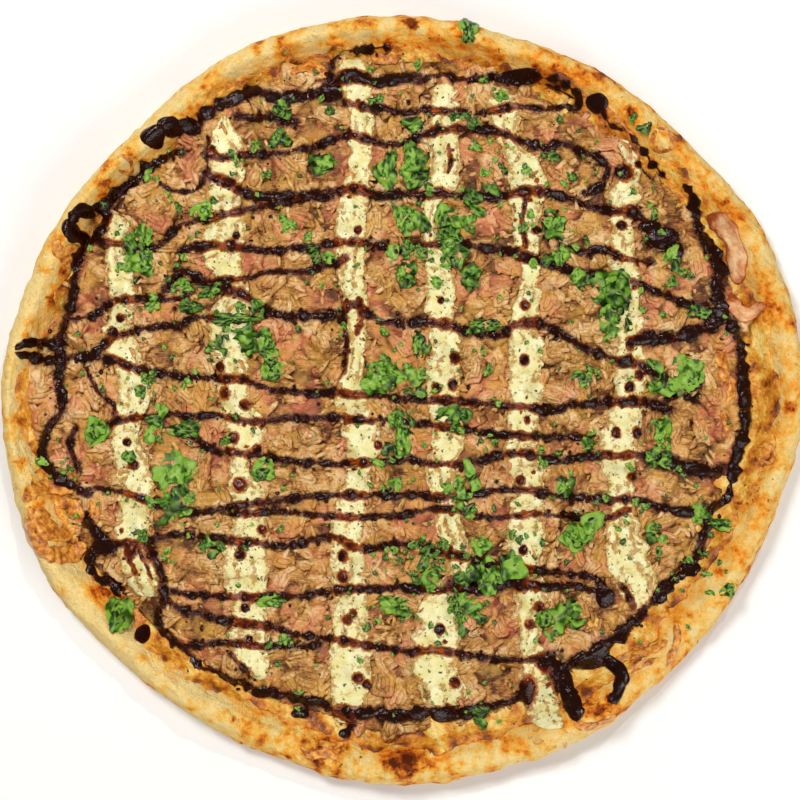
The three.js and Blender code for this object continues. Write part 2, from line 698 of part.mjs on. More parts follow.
stripCurves.forEach((curve, index) => {
  const bare = toSolid(stripGeometry(curve, index));
  const strip = toGeometry(joinTouching(bare, sauceOnStrip(curve, index)));
  addToMap(addPiece(`cream_strip_${index + 1}`, strip, 'cream'));
});

const tunaSolid = joinTouching(toSolid(tunaCore), [...tunaFlakes(), ...sauceOnTuna()]);
addToMap(addPiece('tuna', toGeometry(tunaSolid), 'tuna'));

RIM_FLAKES.forEach((flake) => addPiece(flake.name, rimFlakeGeometry(flake), 'pinkTuna'));
LEAVES.forEach((leaf, index) => {
  addPiece(`parsley_${String(index + 1).padStart(2, '0')}`, leafGeometry(leaf, index), 'parsley');
});

// The origin is below the middle of the whole pizza's box.
const middle = new THREE.Box3().setFromObject(pizza).getCenter(new THREE.Vector3());
pizza.position.set(-middle.x, -middle.y, 0);

export default pizza;
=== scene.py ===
"""Tuna pizza: baked crust, melted cheese, flaked tuna, cream strips, dark sauce and parsley.

Every piece is modelled in millimetres on the plan of the pizza, seen from above with x to the right, y
away and z up. When its mesh is finished, it is moved to the frame of the solids and turned to metres.
"""
import logging
import math
import random
from dataclasses import dataclass, field
from enum import Enum
from typing import Any, Callable, Sequence

import bmesh
import bpy
import numpy as np
from mathutils import Euler, Matrix, Vector, noise
from mathutils.bvhtree import BVHTree


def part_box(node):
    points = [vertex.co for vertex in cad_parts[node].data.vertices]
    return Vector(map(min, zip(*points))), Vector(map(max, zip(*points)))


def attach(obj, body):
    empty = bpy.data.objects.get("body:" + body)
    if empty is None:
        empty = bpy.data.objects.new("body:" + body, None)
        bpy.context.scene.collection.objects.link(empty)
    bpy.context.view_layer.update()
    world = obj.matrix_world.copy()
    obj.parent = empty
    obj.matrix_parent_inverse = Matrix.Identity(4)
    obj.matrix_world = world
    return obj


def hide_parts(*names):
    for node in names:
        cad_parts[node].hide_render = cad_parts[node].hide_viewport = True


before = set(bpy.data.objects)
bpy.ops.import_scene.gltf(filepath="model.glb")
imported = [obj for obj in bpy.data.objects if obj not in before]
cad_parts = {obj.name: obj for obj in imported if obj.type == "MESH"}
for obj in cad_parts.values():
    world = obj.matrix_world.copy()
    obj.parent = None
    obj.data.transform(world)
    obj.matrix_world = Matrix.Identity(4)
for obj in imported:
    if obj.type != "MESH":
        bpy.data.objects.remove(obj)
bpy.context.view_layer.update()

log = logging.getLogger("tuna_pizza")

MM = 0.001
WELD = 1e-4
PLAN_UNIT = 0.4
PLAN_CENTRE = (400.0, 398.0)
PLAN_SHIFT = (-1.34, 1.04)

Point = tuple[float, float]
Colour = tuple[float, float, float, float]
Patch = tuple[float, float, float, float]  # x and y on the plan grid, reach, heat


class Slot(Enum):
    """Material slots of the record."""

    CRUST = "crust"
    CHEESE = "melted_cheese"
    TUNA = "tuna"
    CREAM = "cream"
    PINK_TUNA = "pink_tuna"
    PARSLEY = "parsley"


# ---- Numbers, places and meshes -----------------------------------------------------------------


def on_plan(point: Point) -> Point:
    """Turn a place on the plan grid (0.4 mm units, y down) into millimetres from its middle."""
    return ((point[0] - PLAN_CENTRE[0]) * PLAN_UNIT, (PLAN_CENTRE[1] - point[1]) * PLAN_UNIT)


def smooth(low: float, high: float, value: Any) -> Any:
    """Rise smoothly from 0 at low to 1 at high, for a number or an array."""
    share = np.clip((value - low) / (high - low), 0.0, 1.0)
    return share * share * (3.0 - 2.0 * share)


def noise_at(points: np.ndarray, grain: float, seed: int = 0) -> np.ndarray:
    """Sample smooth noise at points.

    Args:
        points: rows of x, y, z in millimetres.
        grain: size of one lump of the noise in millimetres.
        seed: picks another part of the noise.

    Returns:
        One value per point, from about -1 to 1.
    """
    shift = Vector((seed * 17.3, seed * -9.1, seed * 5.7))
    return np.array([noise.noise(Vector(point) / grain + shift) for point in points.tolist()])


def curve_through(points: Sequence[Sequence[float]], per_span: int) -> np.ndarray:
    """Draw a smooth curve through points.

    Args:
        points: places that the curve passes, in order.
        per_span: number of steps between two of them.

    Returns:
        Rows of places along the curve.
    """
    given = np.array(points, dtype=float)
    padded = np.vstack([2 * given[0] - given[1], given, 2 * given[-1] - given[-2]])
    rows = []
    for i in range(1, len(padded) - 2):
        before, start, end, after = padded[i - 1:i + 3]
        for t in np.arange(per_span) / per_span:
            rows.append(0.5 * (2 * start + (end - before) * t
                               + (2 * before - 5 * start + 4 * end - after) * t ** 2
                               + (3 * start - before - 3 * end + after) * t ** 3))
    rows.append(given[-1])
    return np.array(rows)


def evenly(points: np.ndarray, step: float) -> np.ndarray:
    """Place points again along a polyline at even steps of about the given length.

    Args:
        points: rows of places along the line.
        step: wanted distance between two of them.

    Returns:
        Rows of places, with both ends kept.
    """
    lengths = np.hypot(*np.diff(points[:, :2], axis=0).T)
    along = np.concatenate([[0.0], np.cumsum(lengths)])
    count = max(4, int(along[-1] / step))
    wanted = np.linspace(0.0, along[-1], count + 1)
    return np.stack([np.interp(wanted, along, points[:, k]) for k in range(points.shape[1])], axis=1)


def plan_path(places: Sequence[Point], step: float) -> np.ndarray:
    """Draw a smooth path through places on the plan grid, with even steps in millimetres."""
    return evenly(np.array([on_plan(place) for place in curve_through(places, 8).tolist()]), step)


def marks_along(path: np.ndarray, step: float, row: float = 0.0) -> np.ndarray:
    """Give each point of a path its own place on a row of the noise."""
    return np.stack([np.arange(len(path)) * step, np.full(len(path), row), np.zeros(len(path))], axis=1)


def sideways(path: np.ndarray) -> np.ndarray:
    """Unit vectors to the left of a path at each of its points."""
    tangent = np.gradient(path, axis=0)
    tangent /= np.maximum(np.hypot(*tangent.T), 1e-6)[:, None]
    return np.stack([-tangent[:, 1], tangent[:, 0]], axis=1)


def taper(path: np.ndarray, stations: float) -> np.ndarray:
    """Share of the full width at each point of a path, rounded off over some stations at both ends."""
    reach = np.minimum(np.arange(len(path)), np.arange(len(path))[::-1]) / stations
    return np.sqrt(np.clip(reach, 0.0, 1.0))


def points_of(mesh: bpy.types.Mesh) -> np.ndarray:
    """Read the vertices of a mesh as rows of x, y, z."""
    flat = np.empty(len(mesh.vertices) * 3)
    mesh.vertices.foreach_get("co", flat)
    return flat.reshape(-1, 3)


def weld(bm: bmesh.types.BMesh) -> None:
    """Join the points that lie on each other and turn all faces outward."""
    bmesh.ops.remove_doubles(bm, verts=bm.verts, dist=WELD)
    bmesh.ops.recalc_face_normals(bm, faces=bm.faces)


def layer_of(bm: bmesh.types.BMesh, name: str) -> np.ndarray:
    """Read the number that each vertex of a bmesh carries under a name."""
    layer = bm.verts.layers.float[name]
    return np.array([vert[layer] for vert in bm.verts])


def mesh_from(bm: bmesh.types.BMesh, name: str) -> bpy.types.Mesh:
    """Turn a bmesh into a mesh data-block and free it.

    Args:
        bm: the bmesh, which is freed.
        name: name of the mesh.

    Returns:
        The mesh.
    """
    mesh = bpy.data.meshes.new(name)
    bm.to_mesh(mesh)
    bm.free()
    return mesh


def finish_piece(name: str, mesh: bpy.types.Mesh, points: np.ndarray, finish: "Finish",
                 nodes: Sequence[str] = (), values: dict[str, np.ndarray] | None = None) -> bpy.types.Object:
    """Make the finished piece from a mesh in plan millimetres.

    Args:
        name: name of the piece.
        mesh: its mesh, whose vertices are about to be placed.
        points: where the vertices go, in plan millimetres.
        finish: the finish that dresses it.
        nodes: the solids that it stands for.
        values: one number or vector for each vertex, by attribute name.

    Returns:
        The object, which rides on the only body.
    """
    placed = (points + np.array([PLAN_SHIFT[0], PLAN_SHIFT[1], 0.0])) * MM
    mesh.vertices.foreach_set("co", placed.ravel())
    for key, numbers in (values or {}).items():
        kind, entry = ("FLOAT_VECTOR", "vector") if numbers.ndim == 2 else ("FLOAT", "value")
        mesh.attributes.new(key, kind, "POINT").data.foreach_set(entry, numbers.astype(float).ravel())
    mesh.polygons.foreach_set("use_smooth", [True] * len(mesh.polygons))
    mesh.materials.append(finish.material())
    mesh.update()
    piece = bpy.data.objects.new(name, mesh)
    bpy.context.scene.collection.objects.link(piece)
    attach(piece, "root")
    if nodes:
        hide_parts(*nodes)
    log.info("%s: %d faces", name, len(mesh.polygons))
    return piece


# ---- Finishes -------------------------------------------------------------------------------------


def linear(code: str) -> Colour:
    """Turn an sRGB hex colour into the linear colour that shaders take."""
    parts = [int(code[i:i + 2], 16) / 255.0 for i in (1, 3, 5)]
    red, green, blue = (p / 12.92 if p <= 0.04045 else ((p + 0.055) / 1.055) ** 2.4 for p in parts)
    return (red, green, blue, 1.0)


def add_node(tree: bpy.types.NodeTree, kind: str, inputs: dict[str | int, Any] | None = None,
             stops: Sequence[tuple[float, str]] = (), **settings: Any) -> bpy.types.Node:
    """Add a node to a material.

    Args:
        tree: the material's node tree.
        kind: the node's type.
        inputs: values or sockets for its inputs, by name or number.
        stops: places and hex colours of a colour ramp.
        **settings: properties of the node.

    Returns:
        The new node.
    """
    made = tree.nodes.new(kind)
    for key, value in settings.items():
        setattr(made, key, value)
    for key, value in (inputs or {}).items():
        if isinstance(value, bpy.types.NodeSocket):
            tree.links.new(value, made.inputs[key])
        else:
            made.inputs[key].default_value = value
    if stops:
        elements = made.color_ramp.elements
        while len(elements) < len(stops):
            elements.new(0.5)
        for element, (place, code) in zip(elements, stops):
            element.position = place
            element.color = linear(code)
    return made


class Finish:
    """A finish makes its material once and hands it to every piece that wears it."""

    made: dict[str, bpy.types.Material] = {}
    title = "finish"

    def material(self) -> bpy.types.Material:
        """Return the material, built on first use.

        Returns:
            The material, the same one each time.
        """
        if self.title not in Finish.made:
            material = bpy.data.materials.new(self.title)
            material.use_nodes = True
            material.node_tree.nodes.clear()
            shader = self.build(material.node_tree)
            add_node(material.node_tree, "ShaderNodeOutputMaterial", {"Surface": shader.outputs["BSDF"]})
            Finish.made[self.title] = material
        return Finish.made[self.title]

    def build(self, tree: bpy.types.NodeTree) -> bpy.types.Node:
        """Build the shader; each finish has its own."""
        raise NotImplementedError

    def place(self, tree: bpy.types.NodeTree) -> bpy.types.NodeSocket:
        """Return the coordinates that patterns read, in metres on the piece."""
        return add_node(tree, "ShaderNodeTexCoord").outputs["Object"]

    def value(self, tree: bpy.types.NodeTree, name: str) -> bpy.types.NodeSocket:
        """Return the number that the mesh carries under a name."""
        return add_node(tree, "ShaderNodeAttribute", attribute_name=name).outputs["Fac"]

    def speckle(self, tree: bpy.types.NodeTree, size_mm: float, detail: float = 3.0,
                where: bpy.types.NodeSocket | None = None, rough: float = 0.55) -> bpy.types.NodeSocket:
        """Add noise whose lumps have a real size and return its value."""
        return add_node(tree, "ShaderNodeTexNoise", {
            "Vector": where or self.place(tree), "Scale": 1.0 / (size_mm * MM), "Detail": detail,
            "Roughness": rough}).outputs["Fac"]

    def sum_of(self, tree: bpy.types.NodeTree, parts: Sequence[tuple[bpy.types.NodeSocket, float]],
               start: float = 0.0) -> bpy.types.NodeSocket:
        """Add up sockets, each times its own weight, from a start value.

        Args:
            tree: the material's node tree.
            parts: sockets and their weights.
            start: what is added to the sum.

        Returns:
            The socket that carries the sum.
        """
        total: Any = start
        for socket, weight in parts:
            total = add_node(tree, "ShaderNodeMath", {0: socket, 1: weight, 2: total},
                             operation="MULTIPLY_ADD").outputs[0]
        return total

    def ramp(self, tree: bpy.types.NodeTree, share: bpy.types.NodeSocket,
             *stops: tuple[float, str]) -> bpy.types.NodeSocket:
        """Return the colour that a ramp of places and hex colours gives to a share."""
        return add_node(tree, "ShaderNodeValToRGB", {"Fac": share}, stops=stops).outputs["Color"]

    def blend(self, tree: bpy.types.NodeTree, share: Any, first: Any, second: Any,
              mode: str = "MIX") -> bpy.types.NodeSocket:
        """Mix two colours, given as hex codes or sockets, by a share."""
        one, two = (linear(c) if isinstance(c, str) else c for c in (first, second))
        return add_node(tree, "ShaderNodeMix", {0: share, 6: one, 7: two}, data_type="RGBA",
                        blend_type=mode).outputs[2]

    def limits(self, tree: bpy.types.NodeTree, value: bpy.types.NodeSocket, low: float, high: float,
               top: float = 1.0) -> bpy.types.NodeSocket:
        """Map a value so that it rises from 0 at low to top at high."""
        return add_node(tree, "ShaderNodeMapRange", {
            "Value": value, "From Min": low, "From Max": high, "To Max": top}).outputs[0]

    def soaked(self, tree: bpy.types.NodeTree) -> bpy.types.NodeSocket:
        """Return how far dark sauce has soaked in, with a broken edge.

        Args:
            tree: the material's node tree.

        Returns:
            A share from 0, dry, to 1, soaked.
        """
        blots = self.speckle(tree, 3.4, 3.0, rough=0.7)
        threads = self.speckle(tree, 1.1, 2.0, rough=0.7)
        wet = self.sum_of(tree, [(self.value(tree, "soak"), 1.0), (blots, 0.62), (threads, 0.42)], -0.52)
        return self.limits(tree, wet, 0.52, 0.88)

    def bumps(self, tree: bpy.types.NodeTree, height: bpy.types.NodeSocket, depth_mm: float,
              under: bpy.types.NodeSocket | None = None) -> bpy.types.NodeSocket:
        """Turn a height socket into a bumped normal of a real depth.

        Args:
            tree: the material's node tree.
            height: the height socket, from 0 to 1.
            depth_mm: what a height of 1 means in millimetres.
            under: a normal to add the bumps to.

        Returns:
            The socket of the normal.
        """
        inputs = {"Height": height, "Distance": depth_mm * MM, "Strength": 1.0}
        if under:
            inputs["Normal"] = under
        return add_node(tree, "ShaderNodeBump", inputs).outputs["Normal"]


@dataclass(frozen=True)
class BakedDough(Finish):
    """Bread crust baked on stone: dry, matt, floury where pale, golden on the crown, scorched in spots."""

    title: str = "baked_dough"
    flour: str = "#ffdd90"
    pale: str = "#ffca62"
    golden: str = "#fba536"
    brown: str = "#c8641a"
    scorched: str = "#64280a"
    cheese: str = "#fdcc5a"
    spot: str = "#8e4010"

    def build(self, tree: bpy.types.NodeTree) -> bpy.types.Node:
        """Mix the colours by how long the oven reached each place, with pores and wrinkles as bumps.

        Args:
            tree: the material's node tree.

        Returns:
            The shader node.
        """
        patches = self.speckle(tree, 14.0, 2.0)
        freckles = self.speckle(tree, 2.4, 5.0, rough=0.72)
        wrinkles = self.speckle(tree, 4.5, 6.0, rough=0.62)
        mottles = self.speckle(tree, 5.5, 3.0)
        heat = self.sum_of(tree, [(self.value(tree, "baked"), 1.0), (patches, 1.2), (freckles, 1.1),
                                  (mottles, 1.7), (wrinkles, 0.3)], -2.48)
        baked = self.ramp(tree, heat, (0.05, self.flour), (0.34, self.pale), (0.56, self.golden),
                          (0.82, self.brown), (1.0, self.scorched))
        film = self.sum_of(tree, [(self.value(tree, "cheesy"), 1.0), (patches, 1.2), (mottles, 0.8)], -1.1)
        colour = self.blend(tree, self.limits(tree, film, 0.1, 0.7, 0.55), baked,
                            self.blend(tree, 1.0, baked, self.cheese, "MULTIPLY"))
        spots = self.sum_of(tree, [(self.speckle(tree, 3.0, 2.0), 1.0), (self.value(tree, "baked"), 0.3)])
        colour = self.blend(tree, self.limits(tree, spots, 0.9, 0.96, 0.8), colour, self.spot)
        pores = self.speckle(tree, 1.0, 4.0, rough=0.65)
        low = self.bumps(tree, self.sum_of(tree, [(wrinkles, 1.0), (patches, 0.5)]), 3.2)
        return add_node(tree, "ShaderNodeBsdfPrincipled", {
            "Base Color": colour, "Roughness": 0.7, "Normal": self.bumps(tree, pores, 0.6, low),
            "Specular IOR Level": 0.12})


@dataclass(frozen=True)
class MeltedCheese(Finish):
    """Mozzarella melted and browned: oily gloss, golden, with brown blisters."""

    title: str = "melted_cheese_golden"
    cream: str = "#f8d678"
    golden: str = "#eca834"
    amber: str = "#cc7418"
    brown: str = "#74340a"

    def build(self, tree: bpy.types.NodeTree) -> bpy.types.Node:
        """Mix the colours by heat and noise, with soft lumps as bumps.

        Args:
            tree: the material's node tree.

        Returns:
            The shader node.
        """
        lumps = self.speckle(tree, 6.0, 4.0)
        freckles = self.speckle(tree, 1.8, 4.0, rough=0.65)
        heat = self.sum_of(tree, [(self.value(tree, "baked"), 1.0), (lumps, 1.8), (freckles, 1.1)], -1.55)
        colour = self.ramp(tree, heat, (0.0, self.cream), (0.32, self.golden), (0.66, self.amber),
                           (1.0, self.brown))
        low = self.bumps(tree, lumps, 2.2)
        return add_node(tree, "ShaderNodeBsdfPrincipled", {
            "Base Color": colour, "Roughness": 0.34, "Normal": self.bumps(tree, freckles, 0.7, low)})


@dataclass(frozen=True)
class FlakedTuna(Finish):
    """Cooked tuna in flakes: moist, fibrous along each flake, pinkish tan, with painted shade that turns the
    seams and the undersides of flakes darker brown.
    """

    title: str = "flaked_tuna"
    # The darkest tuna colour, reached mostly as painted shade in the seams and under the flakes.
    seam_shade: str = "#592c0e"
    dark: str = "#975c29"
    tan: str = "#c99049"
    pale: str = "#e9c38d"
    olive: str = "#8b7c29"
    pink: str = "#da7656"
    golden: str = "#d8a143"
    sauce: str = "#1e0400"
    wine: str = "#501a08"

    def build(self, tree: bpy.types.NodeTree) -> bpy.types.Node:
        """Colour each flake by its tone, with painted shade in the seams and under each flake, fibres as
        bumps and sauce soaked in.

        Args:
            tree: the material's node tree.

        Returns:
            The shader node.
        """
        grain = add_node(tree, "ShaderNodeAttribute", attribute_name="grain").outputs["Vector"]
        drawn = add_node(tree, "ShaderNodeMapping", {"Vector": grain, "Scale": (0.18, 1.0, 1.0)}).outputs[0]
        fibres = add_node(tree, "ShaderNodeTexNoise", {
            "Vector": drawn, "Scale": 1.7, "Detail": 3.0, "Roughness": 0.6}).outputs["Fac"]
        freckles = self.speckle(tree, 1.3, 3.0, rough=0.65)
        clouds = self.speckle(tree, 8.0, 3.0)
        # The depth value paints shade: it is low in the seams of the bed and on the lower side of each flake,
        # which darkens the tone there.
        tone = self.sum_of(tree, [(self.value(tree, "tone"), 0.36), (fibres, 1.0), (freckles, 1.0),
                                  (clouds, 1.3), (self.value(tree, "depth"), 0.34)], -1.6)
        meat = self.ramp(tree, tone, (0.0, self.seam_shade), (0.2, self.dark), (0.5, self.tan), (0.85, self.pale))
        pinkish = self.limits(tree, self.speckle(tree, 15.0, 2.0), 0.5, 0.62, 0.75)
        pools = self.limits(tree, self.speckle(tree, 11.0, 4.0), 0.5, 0.62, 0.85)
        tinted = self.blend(tree, pinkish, meat, self.blend(tree, 0.68, meat, self.pink))
        colour = self.blend(tree, pools, tinted, self.blend(tree, 0.62, tinted, self.golden))
        bits = self.limits(tree, self.speckle(tree, 1.7, 3.0, rough=0.6), 0.56, 0.64, 0.45)
        colour = self.blend(tree, bits, colour, self.olive)
        wet = self.soaked(tree)
        syrup = self.blend(tree, self.limits(tree, freckles, 0.42, 0.62), self.sauce, self.wine)
        low = self.bumps(tree, fibres, 0.5)
        rough = self.sum_of(tree, [(wet, -0.26)], 0.46)
        return add_node(tree, "ShaderNodeBsdfPrincipled", {
            "Base Color": self.blend(tree, wet, colour, syrup), "Roughness": rough,
            "Specular IOR Level": 0.32, "Normal": self.bumps(tree, freckles, 0.35, low)})


@dataclass(frozen=True)
class PipedCream(Finish):
    """Thick mayonnaise-like cream: smooth, pale yellow, slightly translucent, soft gloss."""

    title: str = "piped_cream"
    light: str = "#ebe5b0"
    body: str = "#e2d58a"
    # Stain colour, also used as painted shade along the strip's edges.
    stained: str = "#b07e30"
    amber: str = "#b06616"
    russet: str = "#501605"

    def build(self, tree: bpy.types.NodeTree) -> bpy.types.Node:
        """Mix two creams in soft clouds, stained from beneath and by the sauce that crosses it, darker in the
        grooves and with painted shade along the edges.

        Args:
            tree: the material's node tree.

        Returns:
            The shader node.
        """
        clouds = self.speckle(tree, 5.0, 3.0)
        grit = self.speckle(tree, 1.4, 4.0, rough=0.7)
        # Stain colour is also laid along the strip's edges, where it is partly painted shade and partly
        # stain, and in the grooves.
        seep_and_edge_shade = self.sum_of(tree, [(self.speckle(tree, 3.6, 4.0, rough=0.7), 0.6), (grit, 0.4),
                                   (self.value(tree, "groove"), 0.14), (self.value(tree, "border"), 0.1)])
        stain_and_edge_shade = self.limits(tree, seep_and_edge_shade, 0.53, 0.61, 0.9)
        body = self.blend(tree, self.limits(tree, clouds, 0.35, 0.65), self.light, self.body)
        cream = self.blend(tree, stain_and_edge_shade, body, self.stained)
        wet = self.soaked(tree)
        rim = self.limits(tree, wet, 0.05, 0.35)
        core = self.limits(tree, wet, 0.4, 1.0)
        colour = self.blend(tree, core, self.blend(tree, rim, cream, self.amber), self.russet)
        low = self.bumps(tree, clouds, 0.6)
        return add_node(tree, "ShaderNodeBsdfPrincipled", {
            "Base Color": colour, "Roughness": 0.33, "Normal": self.bumps(tree, grit, 0.3, low),
            "Subsurface Weight": 0.1, "Subsurface Radius": (0.004, 0.003, 0.0015), "Subsurface Scale": 0.4})


@dataclass(frozen=True)
class DarkSauce(Finish):
    """Reduced dark sauce: syrup with a wet gloss, black-brown where deep, red-brown where thin."""

    title: str = "dark_sauce"
    amber: str = "#a44a0a"
    russet: str = "#642004"
    deep: str = "#401002"
    black: str = "#1e0400"

    def build(self, tree: bpy.types.NodeTree) -> bpy.types.Node:
        """Darken with depth; over cream the sauce lets more light through.

        Args:
            tree: the material's node tree.

        Returns:
            The shader node.
        """
        swirl = self.speckle(tree, 2.2, 3.0)
        stretches = self.limits(tree, self.speckle(tree, 5.0, 2.0), 0.42, 0.56, -0.55)
        thin = add_node(tree, "ShaderNodeMath", {0: self.value(tree, "on_cream"), 1: stretches},
                        operation="MULTIPLY").outputs[0]
        depth = self.sum_of(tree, [(self.value(tree, "thickness"), 0.6), (thin, 1.0), (swirl, 1.0)], -0.06)
        colour = self.ramp(tree, depth, (0.08, self.amber), (0.3, self.russet), (0.58, self.deep),
                           (0.9, self.black))
        return add_node(tree, "ShaderNodeBsdfPrincipled", {
            "Base Color": colour, "Roughness": 0.08, "Specular IOR Level": 0.22,
            "Normal": self.bumps(tree, self.speckle(tree, 1.1, 2.0), 0.34)})


@dataclass(frozen=True)
class ParsleyLeaf(Finish):
    """Fresh flat parsley: waxy, paler at the veins, with painted light and shade: bright and dark patches on
    the blade, darker towards the edge.
    """

    title: str = "parsley_leaf"
    dark: str = "#102700"
    green: str = "#366502"
    bright: str = "#80a936"
    vein: str = "#bcd381"

    def build(self, tree: bpy.types.NodeTree) -> bpy.types.Node:
        """Colour by each leaf's tone, by painted light and shade and by its veins.

        Args:
            tree: the material's node tree.

        Returns:
            The shader node.
        """
        mottle = self.speckle(tree, 2.2, 3.0)
        # Each vertex's light-and-shade value paints bright and dark patches on the blade, darker towards its
        # edge.
        tone = self.sum_of(tree, [(self.value(tree, "tone"), 0.85), (self.value(tree, "fold"), 0.8),
                                  (mottle, 0.9)], -0.8)
        blade = self.ramp(tree, tone, (0.05, self.dark), (0.45, self.green), (0.95, self.bright))
        colour = self.blend(tree, self.value(tree, "vein"), blade, self.vein)
        return add_node(tree, "ShaderNodeBsdfPrincipled", {
            "Base Color": colour, "Roughness": 0.34, "Specular IOR Level": 0.2, "Subsurface Weight": 0.08,
            "Subsurface Radius": (0.001, 0.002, 0.0005), "Subsurface Scale": 0.4,
            "Normal": self.bumps(tree, self.speckle(tree, 1.1, 3.0), 0.25)})


@dataclass(frozen=True)
class PinkFlake(Finish):
    """A moist flake from the belly: pink, with pale sinew lines."""

    title: str = "pink_flake"
    deep: str = "#a44a1c"
    pink: str = "#e0905c"
    pale: str = "#f2c690"

    def build(self, tree: bpy.types.NodeTree) -> bpy.types.Node:
        """Mix three pinks by noise, browned at one end and darker along the thin edges.

        Args:
            tree: the material's node tree.

        Returns:
            The shader node.
        """
        grain = self.speckle(tree, 2.0, 5.0, rough=0.7)
        tone = self.sum_of(tree, [(grain, 1.1), (self.speckle(tree, 6.0, 2.0), 1.6),
                                  (self.value(tree, "depth"), 0.8), (self.value(tree, "burnt"), -0.7)], -1.45)
        colour = self.ramp(tree, tone, (0.1, self.deep), (0.45, self.pink), (0.85, self.pale))
        return add_node(tree, "ShaderNodeBsdfPrincipled", {
            "Base Color": colour, "Roughness": 0.45, "Specular IOR Level": 0.3,
            "Normal": self.bumps(tree, grain, 1.0)})


@dataclass(frozen=True)
class BrownedOnion(Finish):
    """Onion slivers and cheese edges browned in the oven: glossy orange-brown with dark rims."""

    title: str = "browned_onion"
    dark: str = "#94491a"
    brown: str = "#cf7f2a"
    amber: str = "#efb04a"

    def build(self, tree: bpy.types.NodeTree) -> bpy.types.Node:
        """Mix three browns by noise.

        Args:
            tree: the material's node tree.

        Returns:
            The shader node.
        """
        colour = self.ramp(tree, self.speckle(tree, 2.4, 4.0), (0.36, self.dark), (0.5, self.brown),
                           (0.66, self.amber))
        return add_node(tree, "ShaderNodeBsdfPrincipled", {
            "Base Color": colour, "Roughness": 0.35,
            "Normal": self.bumps(tree, self.speckle(tree, 1.2, 3.0), 0.4)})


@dataclass(frozen=True)
class DriedHerb(Finish):
    """Dried herb and pepper specks: matt olive to black-brown."""

    title: str = "dried_herb"
    dark: str = "#2c2a12"
    olive: str = "#66702f"

    def build(self, tree: bpy.types.NodeTree) -> bpy.types.Node:
        """Give each speck one of two colours by its tone."""
        colour = self.blend(tree, self.value(tree, "tone"), self.dark, self.olive)
        return add_node(tree, "ShaderNodeBsdfPrincipled", {"Base Color": colour, "Roughness": 0.7})


# ---- Grids over the pizza --------------------------------------------------------------------------


@dataclass
class Grid:
    """Numbers on a square grid over the pizza, read between its cells."""

    half: float = 168.0
    step: float = 0.8
    values: np.ndarray | None = None

    def __post_init__(self) -> None:
        """Start at zero unless values are given."""
        if self.values is None:
            side = int(2 * self.half / self.step) + 1
            self.values = np.zeros((side, side))

    def at(self, x: Any, y: Any) -> Any:
        """Read the grid at places in millimetres.

        Args:
            x: one place or many across.
            y: one place or many up.

        Returns:
            A number for each place.
        """
        u = np.clip((np.asarray(x) + self.half) / self.step, 0, len(self.values) - 1.001)
        v = np.clip((np.asarray(y) + self.half) / self.step, 0, len(self.values) - 1.001)
        column, row = u.astype(int), v.astype(int)
        across, up = u - column, v - row
        lower = self.values[row, column] * (1 - across) + self.values[row, column + 1] * across
        upper = self.values[row + 1, column] * (1 - across) + self.values[row + 1, column + 1] * across
        return lower * (1 - up) + upper * up

    def spread(self, reach: float) -> "Grid":
        """Average the grid over a square of the given reach.

        Args:
            reach: half the side of the square in millimetres.

        Returns:
            The averaged grid.
        """
        out = self.values.copy()
        cells = max(1, round(reach / self.step))
        for axis in (0, 1):
            out = sum(np.roll(out, shift, axis) for shift in range(-cells, cells + 1)) / (2 * cells + 1)
        return Grid(self.half, self.step, out)

    def crests(self, reach: float) -> "Grid":
        """Take the highest value within a square of the given reach.

        Args:
            reach: half the side of the square in millimetres.

        Returns:
            The grid of highest values.
        """
        out = self.values.copy()
        cells = max(1, round(reach / self.step))
        for axis in (0, 1):
            out = np.maximum.reduce([np.roll(out, shift, axis) for shift in range(-cells, cells + 1)])
        return Grid(self.half, self.step, out)

    def mark(self, x: float, y: float, reach_x: float, reach_y: float) -> None:
        """Raise the grid to a soft oval mark: 1 in its middle, 0.75 at its reach and 0 at twice that.

        Args:
            x: middle of the mark across.
            y: middle of the mark up.
            reach_x: its half length across.
            reach_y: its half length up.
        """
        column, row = (x + self.half) / self.step, (y + self.half) / self.step
        wide, high = 2 * reach_x / self.step, 2 * reach_y / self.step
        rows = np.arange(max(0, int(row - high)), min(len(self.values), int(row + high) + 2))
        columns = np.arange(max(0, int(column - wide)), min(len(self.values), int(column + wide) + 2))
        away = ((columns[None, :] - column) / wide) ** 2 + ((rows[:, None] - row) / high) ** 2
        window = np.ix_(rows, columns)
        self.values[window] = np.maximum(self.values[window], 1.0 - away)


@dataclass
class HeightField(Grid):
    """Heights of everything laid so far."""

    def lay(self, piece: bpy.types.Object) -> Grid:
        """Raise the field to the top of a piece.

        Args:
            piece: a finished piece.

        Returns:
            A grid that is 1 where the piece is on top.
        """
        mesh = piece.data
        points = points_of(mesh) / MM - np.array([PLAN_SHIFT[0], PLAN_SHIFT[1], 0.0])
        faces = [tuple(polygon.vertices) for polygon in mesh.polygons]
        tree = BVHTree.FromPolygons(points.tolist(), faces)
        low, high = points.min(axis=0), points.max(axis=0)
        first = np.maximum(0, ((low[:2] + self.half) / self.step).astype(int))
        last = np.minimum(len(self.values) - 1, ((high[:2] + self.half) / self.step).astype(int) + 1)
        mask = Grid(self.half, self.step)
        down = Vector((0.0, 0.0, -1.0))
        for row in range(first[1], last[1] + 1):
            y = row * self.step - self.half
            for column in range(first[0], last[0] + 1):
                hit = tree.ray_cast(Vector((column * self.step - self.half, y, 60.0)), down)[0]
                if hit is not None and hit.z > self.values[row, column]:
                    self.values[row, column] = hit.z
                    mask.values[row, column] = 1.0
        return mask


